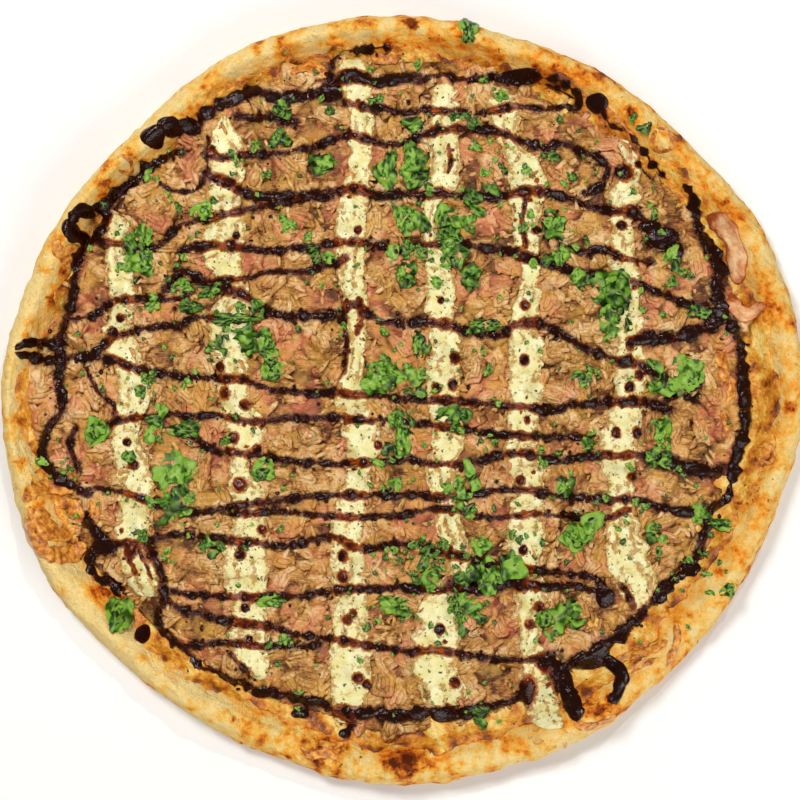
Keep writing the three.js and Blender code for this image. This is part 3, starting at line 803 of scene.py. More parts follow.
@dataclass(frozen=True)
class Outline:
    """The crust's outline and the edge of the topping, as formulas of the angle."""

    mean_radius: float = 156.0
    oval_swell: float = 3.4
    oval_turn: float = math.radians(6)
    corner_swell: float = 2.4
    corner_turn: float = math.radians(9)
    drift: float = 1.2
    drift_turn: float = math.radians(-40)
    ripple: float = 0.5
    band: float = 19.5
    band_swing: float = 4.0
    band_turn: float = math.radians(-50)
    band_notch: float = 5.0
    notch_angle: float = 0.17

    def radius(self, angle: Any) -> Any:
        """Radius of the crust at an angle.

        Args:
            angle: direction from the middle, in radians.

        Returns:
            The radius in millimetres.
        """
        ripple = self.ripple * (np.sin(7 * angle + 1) + np.sin(12 * angle + 2))
        return (self.mean_radius + self.oval_swell * np.cos(2 * (angle - self.oval_turn))
                + self.corner_swell * np.cos(4 * (angle - self.corner_turn))
                + self.drift * np.cos(angle - self.drift_turn) + ripple)

    def holds(self, x: float, y: float, margin: float) -> bool:
        """Say whether a place is on the crust, clear of its edge."""
        return math.hypot(x, y) < self.radius(math.atan2(y, x)) - margin

    def tuna_radius(self, angle: Any) -> Any:
        """Radius of the edge of the tuna at an angle.

        Args:
            angle: direction from the middle, in radians.

        Returns:
            The radius in millimetres.
        """
        ragged = 0.9 * np.sin(9 * angle) + 0.7 * np.sin(17 * angle)
        from_left = np.abs(np.abs(angle) - math.pi)
        notch = self.band_notch * np.exp(-((from_left / self.notch_angle) ** 2))
        swing = self.band_swing * np.cos(angle - self.band_turn)
        return self.radius(angle) - (self.band + swing + ragged - notch)


OUTLINE = Outline()


# ---- Crust ---------------------------------------------------------------------------------------


def patched(points: np.ndarray, patches: Sequence[Patch]) -> np.ndarray:
    """Heat that round patches add at points: those that the oven browned, less where it left them pale.

    Args:
        points: rows of x, y, z in millimetres.
        patches: rows of place, reach and heat.

    Returns:
        The heat at each point.
    """
    total = np.zeros(len(points))
    for x, y, reach, heat in patches:
        total += heat * dome(points, on_plan((x, y)), reach * PLAN_UNIT)
    return total


def dome(points: np.ndarray, middle: Point, size: float, steep: float = 1.0) -> np.ndarray:
    """A round dome over a place in plan millimetres: 1 in its middle, near 0 past twice its size."""
    distance = np.hypot(points[:, 0] - middle[0], points[:, 1] - middle[1]) / size
    return np.exp(-(distance ** 2) * steep)


def spun(section: Sequence[Point], steps: int, name: str) -> bpy.types.Mesh:
    """Spin a section around the middle.

    Args:
        section: radius and height of its points, from axis to axis.
        steps: number of faces around.
        name: name of the mesh.

    Returns:
        A closed mesh.
    """
    bm = bmesh.new()
    chain = [bm.verts.new((radius, 0.0, height)) for radius, height in section]
    edges = [bm.edges.new(pair) for pair in zip(chain, chain[1:])]
    bmesh.ops.spin(bm, geom=chain + edges, cent=(0, 0, 0), axis=(0, 0, 1), dvec=(0, 0, 0),
                   angle=2 * math.pi, steps=steps, use_merge=True, use_duplicate=False)
    weld(bm)
    return mesh_from(bm, name)


@dataclass
class Crust:
    """The baked base with its raised rim."""

    base: float = 4.5
    rim_height: float = 16.0
    foot_clearance: float = 1.0
    foot_radius: float = 137.5
    span: float = 18.5
    foot_share: float = -7.2
    lump: float = 1.1
    coarse_swell: float = 1.7
    fine_swell: float = 1.3
    grit: float = 0.5
    crest: float = 20.2
    blisters: int = 420
    blister_sizes: tuple[float, ...] = (1.4, 1.8, 2.4, 3.4, 5.0)
    foot_heat: float = 0.18
    edge_heat: float = 0.22
    under_heat: float = 0.12
    steps: int = 460
    seed: int = 4
    browning: tuple[Point, ...] = (  # direction in degrees and how far the rim is baked there
        (-48, 0.58), (-10, 0.58), (17, 0.53), (45, 0.54), (78, 0.54), (107, 0.46), (135, 0.37), (180, 0.44),
        (218, 0.39), (248, 0.68), (278, 0.5))
    inside: tuple[Point, ...] = ((0.0, 4.5), (0.16, 6.6), (0.34, 11.0), (0.5, 14.6))
    crown: tuple[Point, ...] = ((0.66, 16.0), (0.84, 14.2), (0.97, 9.4))
    outside: tuple[Point, ...] = ((1.0, 5.4), (0.95, 1.6), (0.84, 0.0))
    patches: tuple[Patch, ...] = (
        (335, 30, 34, 0.18), (300, 35, 20, 0.09), (412, 27, 5, 0.7), (388, 40, 10, 0.18),
        (450, 55, 16, 0.12), (205, 83, 7, 0.27), (222, 88, 6, 0.27), (280, 52, 9, 0.21),
        (190, 95, 24, 0.09), (85, 192, 22, 0.18), (130, 150, 18, 0.12), (570, 52, 22, 0.15),
        (620, 95, 22, 0.12), (670, 150, 26, 0.21), (65, 250, 9, 0.36), (95, 175, 30, 0.06),
        (15, 430, 8, 0.27), (10, 455, 9, 0.27), (30, 300, 34, -0.24), (20, 360, 28, -0.21),
        (60, 560, 30, -0.24), (100, 635, 38, -0.27), (190, 705, 42, -0.24), (270, 735, 18, 0.12),
        (322, 755, 20, 0.3), (410, 766, 34, 0.18), (450, 755, 20, 0.12), (560, 750, 30, -0.15),
        (525, 765, 9, 0.24), (660, 690, 26, -0.12), (600, 735, 20, -0.06), (735, 605, 26, 0.18),
        (750, 560, 18, 0.15), (765, 455, 8, 0.36), (770, 428, 7, 0.3), (760, 410, 8, 0.3),
        (310, 745, 12, 0.24), (342, 752, 6, 0.36), (340, 768, 5, 0.36), (250, 52, 12, 0.18),
        (318, 42, 8, 0.24), (355, 27, 8, 0.18), (778, 500, 18, 0.12), (735, 225, 22, -0.21),
        (770, 285, 12, 0.21), (790, 340, 22, -0.09), (742, 275, 10, 0.12), (785, 400, 20, 0.06),
        (25, 400, 12, 0.12),
    )

    def section(self) -> np.ndarray:
        """Section of the crust as rows of share of the rim's span and height, from axis to axis.

        Returns:
            Rows of share and height.
        """
        rim = curve_through([(-0.3, self.base), *self.inside, *self.crown, *self.outside, (0.6, 0.0)], 7)
        rim[:, 1] = np.maximum(rim[:, 1], 0.0)
        top = [(share, self.base) for share in (self.foot_share, -4.0, -1.5, -0.6)]
        bottom = [(share, 0.0) for share in np.linspace(0.2, self.foot_share, 26)]
        return np.vstack([top, rim, bottom])

    def bend(self, angle: np.ndarray, share: np.ndarray) -> np.ndarray:
        """Radius at an angle of a place given by its share of the rim's span."""
        foot = OUTLINE.tuna_radius(angle) + self.foot_clearance
        inward = foot * (1 + share * self.span / self.foot_radius)
        return np.where(share < 0, inward, foot + share * (OUTLINE.radius(angle) - foot))

    def build(self) -> bpy.types.Object:
        """Spin the section, bend it to the outline and raise its lumps and blisters.

        Returns:
            The finished piece.
        """
        section = self.section() * np.array([self.span, 1.0]) + np.array([self.foot_radius, 0.0])
        section[[0, -1], 0] = 0.0
        mesh = spun(section.tolist(), self.steps, "crust_baked")
        points = points_of(mesh)
        angle = np.arctan2(points[:, 1], points[:, 0])
        radius = np.hypot(points[:, 0], points[:, 1])
        share = (radius - self.foot_radius) / self.span
        height = points[:, 2].copy()
        bent = np.where(radius < 1e-6, 0.0, self.bend(angle, share))
        points[:, 0], points[:, 1] = bent * np.cos(angle), bent * np.sin(angle)
        lump = np.sin(5 * angle + 1) + 0.7 * np.sin(11 * angle) + 0.5 * np.sin(23 * angle + 2)
        points[:, 2] += self.lump * lump * smooth(self.base + 2, self.rim_height, height)
        on_rim = smooth(0.0, 0.3, share) * smooth(0.0, 3.0, height)
        swell = self.coarse_swell * noise_at(points, 13, 1) + self.fine_swell * noise_at(points, 5.0, 2)
        swell = on_rim * (swell + self.grit * noise_at(points, 2.2, 3))
        outward = np.where(height < 10, (share - 0.6) * 2.2, 0.3 * (share - 0.6))
        points[:, 2] += swell * smooth(5.0, 13.0, height)
        points[:, 0] += 0.7 * swell * outward * np.cos(angle)
        points[:, 1] += 0.7 * swell * outward * np.sin(angle)
        top = (share > 0.05) & (height > self.base + 0.1)
        heat = self.heat(points, share, height)
        rng = random.Random(self.seed)
        for _ in range(self.blisters):
            turn = rng.uniform(-math.pi, math.pi)
            span = OUTLINE.radius(turn) - OUTLINE.tuna_radius(turn)
            out = OUTLINE.tuna_radius(turn) + rng.uniform(0.2, 0.95) * span
            size = rng.choice(self.blister_sizes)
            blister = dome(points, (out * math.cos(turn), out * math.sin(turn)), size, 1.2) * top
            points[:, 2] += blister * size * 0.34 * smooth(self.crest, self.crest - 2.5, points[:, 2])
            heat += blister * rng.uniform(-0.3, 0.5)
        points[:, 2] = np.clip(points[:, 2], 0.0, self.crest)
        to_right = np.clip(0.45 + np.cos(angle - 0.35), 0.0, 1.0)
        cheesy = smooth(0.6 + 0.65 * to_right, 0.05, share + 0.3 * noise_at(points, 9, 7)) * top
        return finish_piece("crust_baked", mesh, points, BakedDough(), ["crust"],
                            {"baked": heat, "cheesy": cheesy})

    def heat(self, points: np.ndarray, share: np.ndarray, height: np.ndarray) -> np.ndarray:
        """How strongly the oven browned each place, from 0, floury, to 1, scorched.

        Args:
            points: rows of x, y, z in millimetres.
            share: how far out each point is: 0 at the foot of the rim and 1 at its outer edge.
            height: height of each point in the plain section.

        Returns:
            The heat at each point.
        """
        angle = np.degrees(np.arctan2(points[:, 1], points[:, 0]))
        base = np.interp(angle, *np.array(self.browning).T, period=360)
        foot = self.foot_heat * smooth(0.22, 0.05, share)
        edge = self.edge_heat * smooth(0.9, 1.0, share)
        under = np.where(height < 0.5, self.under_heat, 0.0)
        return base + foot + edge + under + patched(points, self.patches) * (height > 2.0)


@dataclass
class Cheese:
    """The melted layer that shows between the tuna and the rim."""

    lower: float = 4.7
    top: float = 6.3
    reach: float = 5.0
    far_reach: float = 3.6
    far_turn: float = math.radians(-30)
    ragged: float = 2.4
    fixed_radius: float = 120.0
    margin: float = 22.5
    thickness: float = 1.1
    blisters: int = 420
    blister_sizes: tuple[float, ...] = (0.9, 1.2, 1.6, 2.2, 3.0)
    steps: int = 520
    seed: int = 9
    patches: tuple[Patch, ...] = (
        (768, 384, 9, 0.3), (775, 400, 9, 0.3), (770, 418, 8, 0.24), (766, 462, 9, 0.3),
        (764, 340, 14, -0.24), (757, 438, 9, -0.24), (640, 680, 16, -0.18), (660, 590, 14, -0.18),
        (640, 100, 12, 0.18), (690, 172, 10, 0.18), (300, 70, 14, 0.18), (395, 62, 18, 0.18),
        (345, 742, 8, 0.36), (410, 742, 14, 0.18), (52, 255, 9, 0.24), (40, 500, 16, 0.18),
    )

    def build(self, table: HeightField) -> bpy.types.Object:
        """Spin a disc with a thick soft edge and lay its margin on the rim.

        Args:
            table: heights of what lies beneath.

        Returns:
            The finished piece.
        """
        rim = self.fixed_radius + self.margin
        upper = [(out, self.top) for out in (0.0, 40.0, 80.0, 110.0, *np.linspace(122.0, rim, 26))]
        under = [(out, self.lower) for out in (rim, 138.0, 60.0, 0.0)]
        mesh = spun(upper + under, self.steps, "cheese_melted")
        points = points_of(mesh)
        upper = points[:, 2] > 0.5 * (self.lower + self.top)
        angle = np.arctan2(points[:, 1], points[:, 0])
        radius = np.hypot(points[:, 0], points[:, 1])
        ragged = np.sin(6 * angle + 2) + 0.6 * np.sin(13 * angle) + 0.5 * np.sin(29 * angle + 1)
        circle = np.stack([140 * np.cos(angle), 140 * np.sin(angle), np.zeros_like(angle)], axis=1)
        torn = 2.6 * noise_at(circle, 7.0, 11) + 1.5 * noise_at(circle, 2.6, 12)
        far = self.far_reach * np.cos(angle - self.far_turn)
        edge = OUTLINE.tuna_radius(angle) + 1.0 + self.reach + 0.5 * self.ragged * ragged + torn + far
        pulled = self.fixed_radius + (radius - self.fixed_radius) * (edge - self.fixed_radius) / self.margin
        bent = np.where(radius < self.fixed_radius, radius, pulled)
        points[:, 0], points[:, 1] = bent * np.cos(angle), bent * np.sin(angle)
        share = (edge - bent) / 8.0
        floor = table.spread(1.0).at(points[:, 0], points[:, 1])
        lumps = 1 + noise_at(points, 5, 1) + 0.5 * noise_at(points, 2, 2)
        soft = self.thickness * np.sqrt(np.clip(share * 3.0, 0.0, 1.0)) * lumps
        laid = np.where(upper, floor + np.clip(soft, 0.0, 2.6) - 0.15, floor - 0.4)
        points[:, 2] = np.where(radius > 118, laid, points[:, 2])
        heat = 0.44 + 0.25 * np.exp(-(share / 0.3) ** 2) + 0.35 * noise_at(points, 6, 5)
        rng = random.Random(self.seed)
        for _ in range(self.blisters):
            turn = rng.uniform(-math.pi, math.pi)
            out = OUTLINE.tuna_radius(turn) + rng.uniform(-1.0, 10.0)
            size = rng.choice(self.blister_sizes)
            blister = dome(points, (out * math.cos(turn), out * math.sin(turn)), size) * upper
            points[:, 2] += blister * 0.3 * size
            heat += blister * rng.uniform(-0.3, 0.6)
        heat += patched(points, self.patches)
        return finish_piece("cheese_melted", mesh, points, MeltedCheese(), ["melted_cheese"],
                            {"baked": heat})


# ---- Tuna ----------------------------------------------------------------------------------------


class FlakeKind(Enum):
    """Kinds of loose tuna: length, width and height in millimetres, detail, variants, number."""

    CHUNK = ((15.0, 9.0, 3.2), 3, 14, 230)
    FLAKE = ((9.0, 5.0, 2.5), 3, 14, 520)
    SHRED = ((6.5, 2.0, 1.5), 2, 14, 1500)
    CRUMB = ((2.6, 1.6, 1.2), 1, 8, 1800)


@dataclass
class Shape:
    """A small shape that is repeated: its points, faces and grain."""

    points: np.ndarray
    faces: np.ndarray
    values: dict[str, np.ndarray]


@dataclass
class Scatter:
    """Gathers turned and placed copies of small shapes into one mesh."""

    soak: Grid | None = None
    points: list[np.ndarray] = field(default_factory=list)
    faces: list[np.ndarray] = field(default_factory=list)
    values: dict[str, list[np.ndarray]] = field(default_factory=dict)
    count: int = 0

    def add(self, shape: Shape, turn: Matrix, place: Sequence[float], tone: float) -> None:
        """Add one copy.

        Args:
            shape: what to copy.
            turn: its rotation and size.
            place: where its middle goes, in plan millimetres.
            tone: the copy's own shade from 0 to 1.
        """
        self.points.append(shape.points @ np.array(turn.to_3x3().transposed()) + np.array(place))
        self.faces.append(shape.faces + self.count)
        for key, numbers in shape.values.items():
            self.values.setdefault(key, []).append(numbers)
        self.values.setdefault("tone", []).append(np.full(len(shape.points), tone))
        self.count += len(shape.points)

    def finish(self, name: str, finish: Finish, slot: Slot, nodes: Sequence[str] = ()) -> bpy.types.Object:
        """Join the copies into one finished piece.

        Args:
            name: name of the piece.
            finish: the finish that dresses it.
            slot: not used.
            nodes: the solids that it stands for.

        Returns:
            The finished piece.
        """
        points = np.vstack(self.points)
        mesh = bpy.data.meshes.new(name)
        mesh.from_pydata(points.tolist(), [], np.vstack(self.faces).tolist())
        values = {key: np.concatenate(numbers) for key, numbers in self.values.items()}
        if self.soak is not None:
            values["soak"] = self.soak.at(points[:, 0], points[:, 1])
        return finish_piece(name, mesh, points, finish, nodes, values)


def shape_from(bm: bmesh.types.BMesh, values: dict[str, np.ndarray]) -> Shape:
    """Read a small bmesh of equal faces as arrays and free it.

    Args:
        bm: the bmesh, whose faces all have as many corners.
        values: one number or vector for each vertex, by attribute name.

    Returns:
        The shape.
    """
    bm.verts.index_update()
    points = np.array([vert.co[:] for vert in bm.verts])
    faces = np.array([[vert.index for vert in face.verts] for face in bm.faces])
    bm.free()
    return Shape(points, faces, values)


@dataclass
class Tuna:
    """The bed of flaked tuna: a relief core with loose flakes on it."""

    soak: Grid
    floor: float = 6.5
    top: float = 10.4
    edge_top: float = 7.4
    shoulder: float = 9.0
    cell: float = 9.0
    warp: float = 2.6
    seam_width: float = 0.13
    grid_faces: tuple[int, int] = (370, 350)
    grid_half: tuple[float, float] = (150.0, 142.0)
    strays: int = 620
    seed: int = 20

    def core_height(self, points: np.ndarray) -> tuple[np.ndarray, np.ndarray, np.ndarray]:
        """Relief of the core: cells like packed flakes, with fibres and sunken seams, where painted shade
        makes them dark.

        Args:
            points: rows of x, y, z of the core's top.

        Returns:
            The height, the depth below the crests from 0 to 1, which paints shade into the seams, and the
            tone, for each point.
        """
        warp = np.stack([noise_at(points, 6.0, 1), noise_at(points, 6.0, 2), np.zeros(len(points))], axis=1)
        cells = (points + self.warp * warp) / self.cell
        heights, seams, tones = [], [], []
        for x, y, _ in cells.tolist():
            distances, centres = noise.voronoi(Vector((x, y * 1.25, 0.0)))
            crease = math.exp(-(((distances[1] - distances[0]) / self.seam_width) ** 2))
            own = noise.cell(centres[0] * 31.7)
            heights.append(1.3 * own + 0.9 * (1.0 - distances[0]) - 0.9 * crease)
            seams.append(crease)
            tones.append(noise.cell(centres[0] * 57.1 + Vector((3.0, 8.0, 1.0))))
        edge = OUTLINE.tuna_radius(np.arctan2(points[:, 1], points[:, 0]))
        shoulder = smooth(0.0, self.shoulder, edge - np.hypot(points[:, 0], points[:, 1]))
        fine = 0.7 * noise_at(points, 3.4, 5) + 0.3 * noise_at(points, 1.5, 6)
        relief = np.array(heights) + fine
        slope = self.edge_top + (self.top - self.edge_top) * shoulder
        height = slope + relief * (0.35 + 0.65 * shoulder) - 0.9
        return height, 1.0 - np.array(seams), np.array(tones)

    def build_core(self) -> bpy.types.Object:
        """Cut a fine grid to the tuna's outline, raise its relief and close it below.

        Returns:
            The finished piece.
        """
        bm = bmesh.new()
        across, up = self.grid_faces
        bmesh.ops.create_grid(bm, x_segments=across, y_segments=up, size=1.0)
        bmesh.ops.scale(bm, vec=(*self.grid_half, 1.0), verts=bm.verts)
        outside = [v for v in bm.verts if v.co.length > OUTLINE.tuna_radius(math.atan2(v.co.y, v.co.x)) + 0.4]
        bmesh.ops.delete(bm, geom=outside, context="VERTS")
        rim_edges = [edge for edge in bm.edges if edge.is_boundary]
        walls = bmesh.ops.extrude_edge_only(bm, edges=rim_edges)["geom"]
        lowered = [item for item in walls if isinstance(item, bmesh.types.BMVert)]
        lower_edges = [item for item in walls if isinstance(item, bmesh.types.BMEdge)]
        bmesh.ops.translate(bm, vec=(0.0, 0.0, -5.0), verts=lowered)
        bmesh.ops.edgeloop_fill(bm, edges=lower_edges)
        bmesh.ops.recalc_face_normals(bm, faces=bm.faces)
        mesh = mesh_from(bm, "tuna_bed")
        points = points_of(mesh)
        upper = points[:, 2] > -2.5
        height, depth, tone = self.core_height(points * np.array([1.0, 1.0, 0.0]))
        points[:, 2] = np.where(upper, height, self.floor)
        grain = points * np.array([1.0, 1.0, 0.3])
        # The depth value carries painted shade into the seams.
        return finish_piece("tuna_bed", mesh, points, FlakedTuna(), ["tuna"],
                            {"depth": depth * upper, "tone": tone, "grain": grain,
                             "soak": self.soak.at(points[:, 0], points[:, 1])})

    def flake_shape(self, kind: FlakeKind, rng: random.Random) -> Shape:
        """One torn flake: blocky, grooved along its length and ragged at its ends.

        Args:
            kind: gives its size and detail.
            rng: source of the random draws.

        Returns:
            The shape, in millimetres.
        """
        (length, width, height), detail, _, _ = kind.value
        length *= rng.uniform(0.75, 1.2)
        width *= rng.uniform(0.75, 1.2)
        height *= rng.uniform(0.8, 1.15)
        bm = bmesh.new()
        bmesh.ops.create_icosphere(bm, subdivisions=detail, radius=1.0)
        offset = Vector((rng.uniform(0, 90), rng.uniform(0, 90), rng.uniform(0, 90)))
        grooves = rng.choice((5, 6, 7))
        bend = rng.uniform(-0.25, 0.25)
        for vert in bm.verts:
            p = vert.co.copy()
            around = math.atan2(p.z, p.y)
            groove = 1.0 + 0.07 * math.sin(grooves * around + 3.0 * p.x * bend + offset.x)
            torn = 1.0 + 0.4 * noise.noise(p * 1.3 + offset) + 0.14 * noise.noise(p * 4.0 + offset)
            x, y, z = (math.copysign(abs(c) ** 0.8, c) for c in p)
            aside = bend * length * x * x * 0.4
            vert.co = Vector((x * length * 0.5 * torn, y * width * 0.5 * groove * torn + aside,
                              z * height * 0.5 * groove * torn))
        points = np.array([vert.co[:] for vert in bm.verts])
        # Painted shade: the lower side of each flake gets a lower depth value and so a darker tone.
        depth = 0.55 + 0.45 * np.clip(points[:, 2] / (0.5 * height), -1, 1)
        return shape_from(bm, {"grain": points + np.array(offset[:]), "depth": depth})

    def build_flakes(self, kind: FlakeKind, table: HeightField) -> bpy.types.Object:
        """Scatter one kind of flake over the bed.

        Args:
            kind: which flakes to scatter.
            table: heights of what lies beneath.

        Returns:
            The finished piece.
        """
        rng = random.Random(self.seed + len(kind.name))
        (_, _, height), _, variants, number = kind.value
        shapes = [self.flake_shape(kind, rng) for _ in range(variants)]
        ground = table.spread(1.6)
        scatter = Scatter(self.soak)
        while len(scatter.points) < number:
            x, y = rng.uniform(-150, 150), rng.uniform(-145, 145)
            inset = OUTLINE.tuna_radius(math.atan2(y, x)) - math.hypot(x, y)
            if inset < rng.choice((-1.0, 0.5, 2.0, 4.0)) + height * 0.3:
                continue
            lift = float(ground.at(x, y)) + height * rng.uniform(-0.18, 0.16)
            turn = Euler((rng.uniform(-0.25, 0.25), rng.uniform(-0.16, 0.16), rng.uniform(-math.pi, math.pi)))
            sized = turn.to_matrix() @ Matrix.Scale(rng.uniform(0.85, 1.15), 3)
            scatter.add(rng.choice(shapes), sized, (x, y, lift), rng.random())
        return scatter.finish(f"tuna_{kind.name.lower()}s", FlakedTuna(), Slot.TUNA, ["tuna"])

    def build_strays(self, table: HeightField) -> bpy.types.Object:
        """Lay thin shreds half over the edges of the cream strips.

        Args:
            table: heights of what lies beneath.

        Returns:
            The finished piece.
        """
        rng = random.Random(self.seed)
        shapes = [self.flake_shape(FlakeKind.SHRED, rng) for _ in range(10)]
        ground = table.spread(0.8)
        scatter = Scatter(self.soak)
        for _ in range(self.strays):
            row = rng.choice(rng.choice(STRIPS).rows)
            x, y = on_plan((row[rng.choice((1, 2))] + rng.gauss(0, 3.5), row[0] + rng.uniform(-18, 18)))
            turn = Euler((rng.uniform(-0.2, 0.2), rng.uniform(-0.2, 0.2), rng.uniform(-math.pi, math.pi)))
            sized = turn.to_matrix() @ Matrix.Scale(rng.uniform(0.35, 0.85), 3)
            scatter.add(rng.choice(shapes), sized, (x, y, float(ground.at(x, y)) + 0.1), rng.random())
        return scatter.finish("tuna_strays", FlakedTuna(), Slot.TUNA, ["tuna"])


# ---- Cream strips and sauce ------------------------------------------------------------------------


def lay_band(bm: bmesh.types.BMesh, left: np.ndarray, right: np.ndarray, rise: np.ndarray, sink: float,
             around: tuple[int, int], floor: Callable[[Any, Any], Any], fullness: float) -> None:
    """Add a closed band of soft matter that lies on a floor.

    Args:
        bm: mesh that the band is added to; its vertex layers "crest" and "across" get each point's height
            over the floor and its place across the band from -1 to 1.
        left: places of its left edge.
        right: places of its right edge.
        rise: its height over the floor at each station.
        sink: how far its underside reaches into the floor.
        around: number of faces across its top and its underside.
        floor: gives the floor's height at places.
        fullness: exponent of the section, small for a flat top with steep sides.
    """
    over, below = around
    count = len(left)
    crest = bm.verts.layers.float.get("crest") or bm.verts.layers.float.new("crest")
    side = bm.verts.layers.float.get("across") or bm.verts.layers.float.new("across")
    made = bmesh.ops.create_grid(bm, x_segments=count - 1, y_segments=over + below, size=1.0)["verts"]
    rows = np.array([round((v.co.x + 1) * 0.5 * (count - 1)) for v in made])
    columns = np.array([round((v.co.y + 1) * 0.5 * (over + below)) for v in made])
    turn = np.where(columns <= over, columns / over, 1.0 + (columns - over) / below) * math.pi
    across, up = np.cos(turn), np.sin(turn)
    places = 0.5 * (left + right)[rows] + 0.5 * (right - left)[rows] * across[:, None]
    height = np.where(up >= 0, rise[rows] * np.abs(up) ** fullness, -sink * np.abs(up) * (rise[rows] > 0.01))
    levels = floor(places[:, 0], places[:, 1]) + height
    rows = zip(made, places.tolist(), levels.tolist(), height.tolist(), across.tolist())
    for vert, (x, y), z, top, share in rows:
        vert.co = (x, y, z)
        vert[crest] = top
        vert[side] = share


@dataclass(frozen=True)
class StripTrace:
    """Edges of one cream strip: for each row of the plan, its left and right edge."""

    node: str
    rows: tuple[tuple[float, float, float], ...]


STRIPS = (
    StripTrace("cream_strip_1", (
        (212, 110, 122), (228, 106, 130), (250, 105, 130), (275, 107, 133), (310, 110, 137),
        (330, 103, 130), (350, 107, 140), (390, 117, 150), (435, 112, 140), (470, 115, 150),
        (490, 120, 155), (520, 115, 150), (555, 118, 150), (580, 125, 162), (600, 132, 165))),
    StripTrace("cream_strip_2", (
        (113, 219, 225), (140, 210, 243), (160, 207, 246), (200, 208, 240), (230, 205, 245),
        (265, 204, 242), (290, 225, 250), (315, 208, 250), (365, 212, 246), (400, 218, 252),
        (435, 225, 265), (465, 230, 245), (490, 230, 265), (520, 232, 268), (565, 222, 268),
        (610, 231, 267), (655, 231, 267), (682, 250, 270))),
    StripTrace("cream_strip_3", (
        (56, 340, 366), (62, 335, 370), (92, 342, 372), (120, 350, 374), (165, 348, 371),
        (210, 336, 367), (265, 335, 365), (300, 343, 368), (345, 349, 365), (397, 335, 367),
        (425, 340, 380), (447, 346, 383), (475, 345, 370), (507, 335, 367), (535, 330, 362),
        (585, 331, 368), (620, 331, 368), (670, 329, 371), (728, 334, 366))),
    StripTrace("cream_strip_4", (
        (82, 430, 458), (125, 429, 459), (180, 429, 459), (205, 423, 440), (235, 425, 435),
        (275, 426, 454), (315, 426, 454), (347, 430, 462), (380, 425, 460), (440, 432, 465),
        (470, 425, 455), (515, 435, 460), (540, 440, 468), (575, 445, 470), (600, 422, 455),
        (630, 413, 462), (665, 412, 455), (690, 418, 468), (710, 428, 464))),
    StripTrace("cream_strip_5", (
        (86, 490, 512), (115, 487, 520), (145, 500, 520), (160, 505, 540), (185, 510, 548),
        (225, 513, 540), (280, 520, 540), (330, 509, 541), (392, 510, 543), (435, 505, 538),
        (465, 505, 540), (490, 515, 545), (535, 506, 545), (565, 510, 540), (600, 515, 548),
        (637, 519, 540), (670, 525, 555), (705, 525, 560), (730, 535, 563))),
    StripTrace("cream_strip_6", (
        (138, 617, 630), (165, 626, 642), (195, 610, 640), (228, 611, 633), (260, 607, 638),
        (300, 626, 640), (335, 615, 645), (385, 615, 645), (410, 610, 645), (430, 603, 640),
        (460, 600, 635), (500, 611, 633), (530, 605, 640), (550, 607, 650), (570, 610, 655),
        (590, 620, 660), (612, 628, 650))),
)


@dataclass
class CreamStrip:
    """One strip of cream, piped or spooned from the far edge to the near edge."""

    trace: StripTrace
    number: int
    soak: Grid
    rise: float = 1.9
    sink: float = 0.9
    step: float = 0.8
    wavy: float = 3.6
    ragged: float = 2.6
    groove_depth: float = 0.9

    def build(self, table: HeightField) -> bpy.types.Object:
        """Lay the strip on the tuna with a ragged edge and a dimpled top.

        Args:
            table: heights of what lies beneath.

        Returns:
            The finished piece.
        """
        rows = evenly(curve_through(self.trace.rows, 10), 2.0)
        rows = rows[np.argsort(rows[:, 0])]
        start, end = rows[0, 0], rows[-1, 0]
        wanted = np.arange(start, end, self.step / PLAN_UNIT)
        low = np.interp(wanted, rows[:, 0], rows[:, 1])
        high = np.interp(wanted, rows[:, 0], rows[:, 2])
        seed, wavy, ragged = self.number * 7, self.wavy, self.ragged
        along = np.stack([wanted * PLAN_UNIT, np.zeros_like(wanted), np.zeros_like(wanted)], axis=1)
        low = low + wavy * noise_at(along, 4.5, seed) + ragged * noise_at(along, 1.6, seed + 1)
        high = high + wavy * noise_at(along, 4.5, seed + 2) + ragged * noise_at(along, 1.6, seed + 3)
        ends = np.sqrt(np.clip(np.minimum(wanted - start, end - wanted) / 8.0, 0.0, 1.0))
        middle, half = 0.5 * (low + high), 0.5 * (high - low) * (0.25 + 0.75 * ends)
        left = np.array([on_plan(point) for point in zip(middle - half, wanted)])
        right = np.array([on_plan(point) for point in zip(middle + half, wanted)])
        left[[0, -1]] = right[[0, -1]] = 0.5 * (left + right)[[0, -1]]
        broad, near = table.spread(2.4), table.spread(0.8)
        floor = Grid(near.half, near.step, 0.5 * (broad.values + near.values))
        bm = bmesh.new()
        rise = self.rise * (0.85 + 0.25 * noise_at(along, 9.0, seed + 4)) * ends
        lay_band(bm, left, right, rise, self.sink, (18, 4), floor.at, 0.42)
        weld(bm)
        tops, across = layer_of(bm, "crest"), layer_of(bm, "across")
        mesh = mesh_from(bm, f"piped_cream_{self.number}")
        points = points_of(mesh)
        down = points * np.array([0.12, 1.0, 0.0])
        strand = 1.25 * across + 0.6 * noise_at(down, 16.0, seed + 5) + 0.25 * self.number
        groove = (0.5 + 0.5 * np.cos(math.tau * strand)) ** 4
        groove *= smooth(-0.15, 0.25, noise_at(down, 9.0, seed + 6)) * smooth(1.0, 0.75, np.abs(across))
        soft = 0.45 * noise_at(points, 4.2, seed) + 0.25 * noise_at(points, 1.8, seed + 1)
        points[:, 2] += (soft - self.groove_depth * groove) * np.clip(tops, 0.0, 1.0)
        # The edge share marks where stain colour doubles as painted shade along the strip.
        return finish_piece(f"piped_cream_{self.number}", mesh, points, PipedCream(),
                            [self.trace.node],
                            {"soak": self.soak.at(points[:, 0], points[:, 1]), "groove": groove,
                             "border": smooth(0.55, 1.0, np.abs(across))})


@dataclass(frozen=True)
class Drizzle:
    """One run of sauce: its width, the places that it passes, on the plan grid, and how beaded it is."""

    width: float
    places: tuple[Point, ...]
    beading: float = 1.0


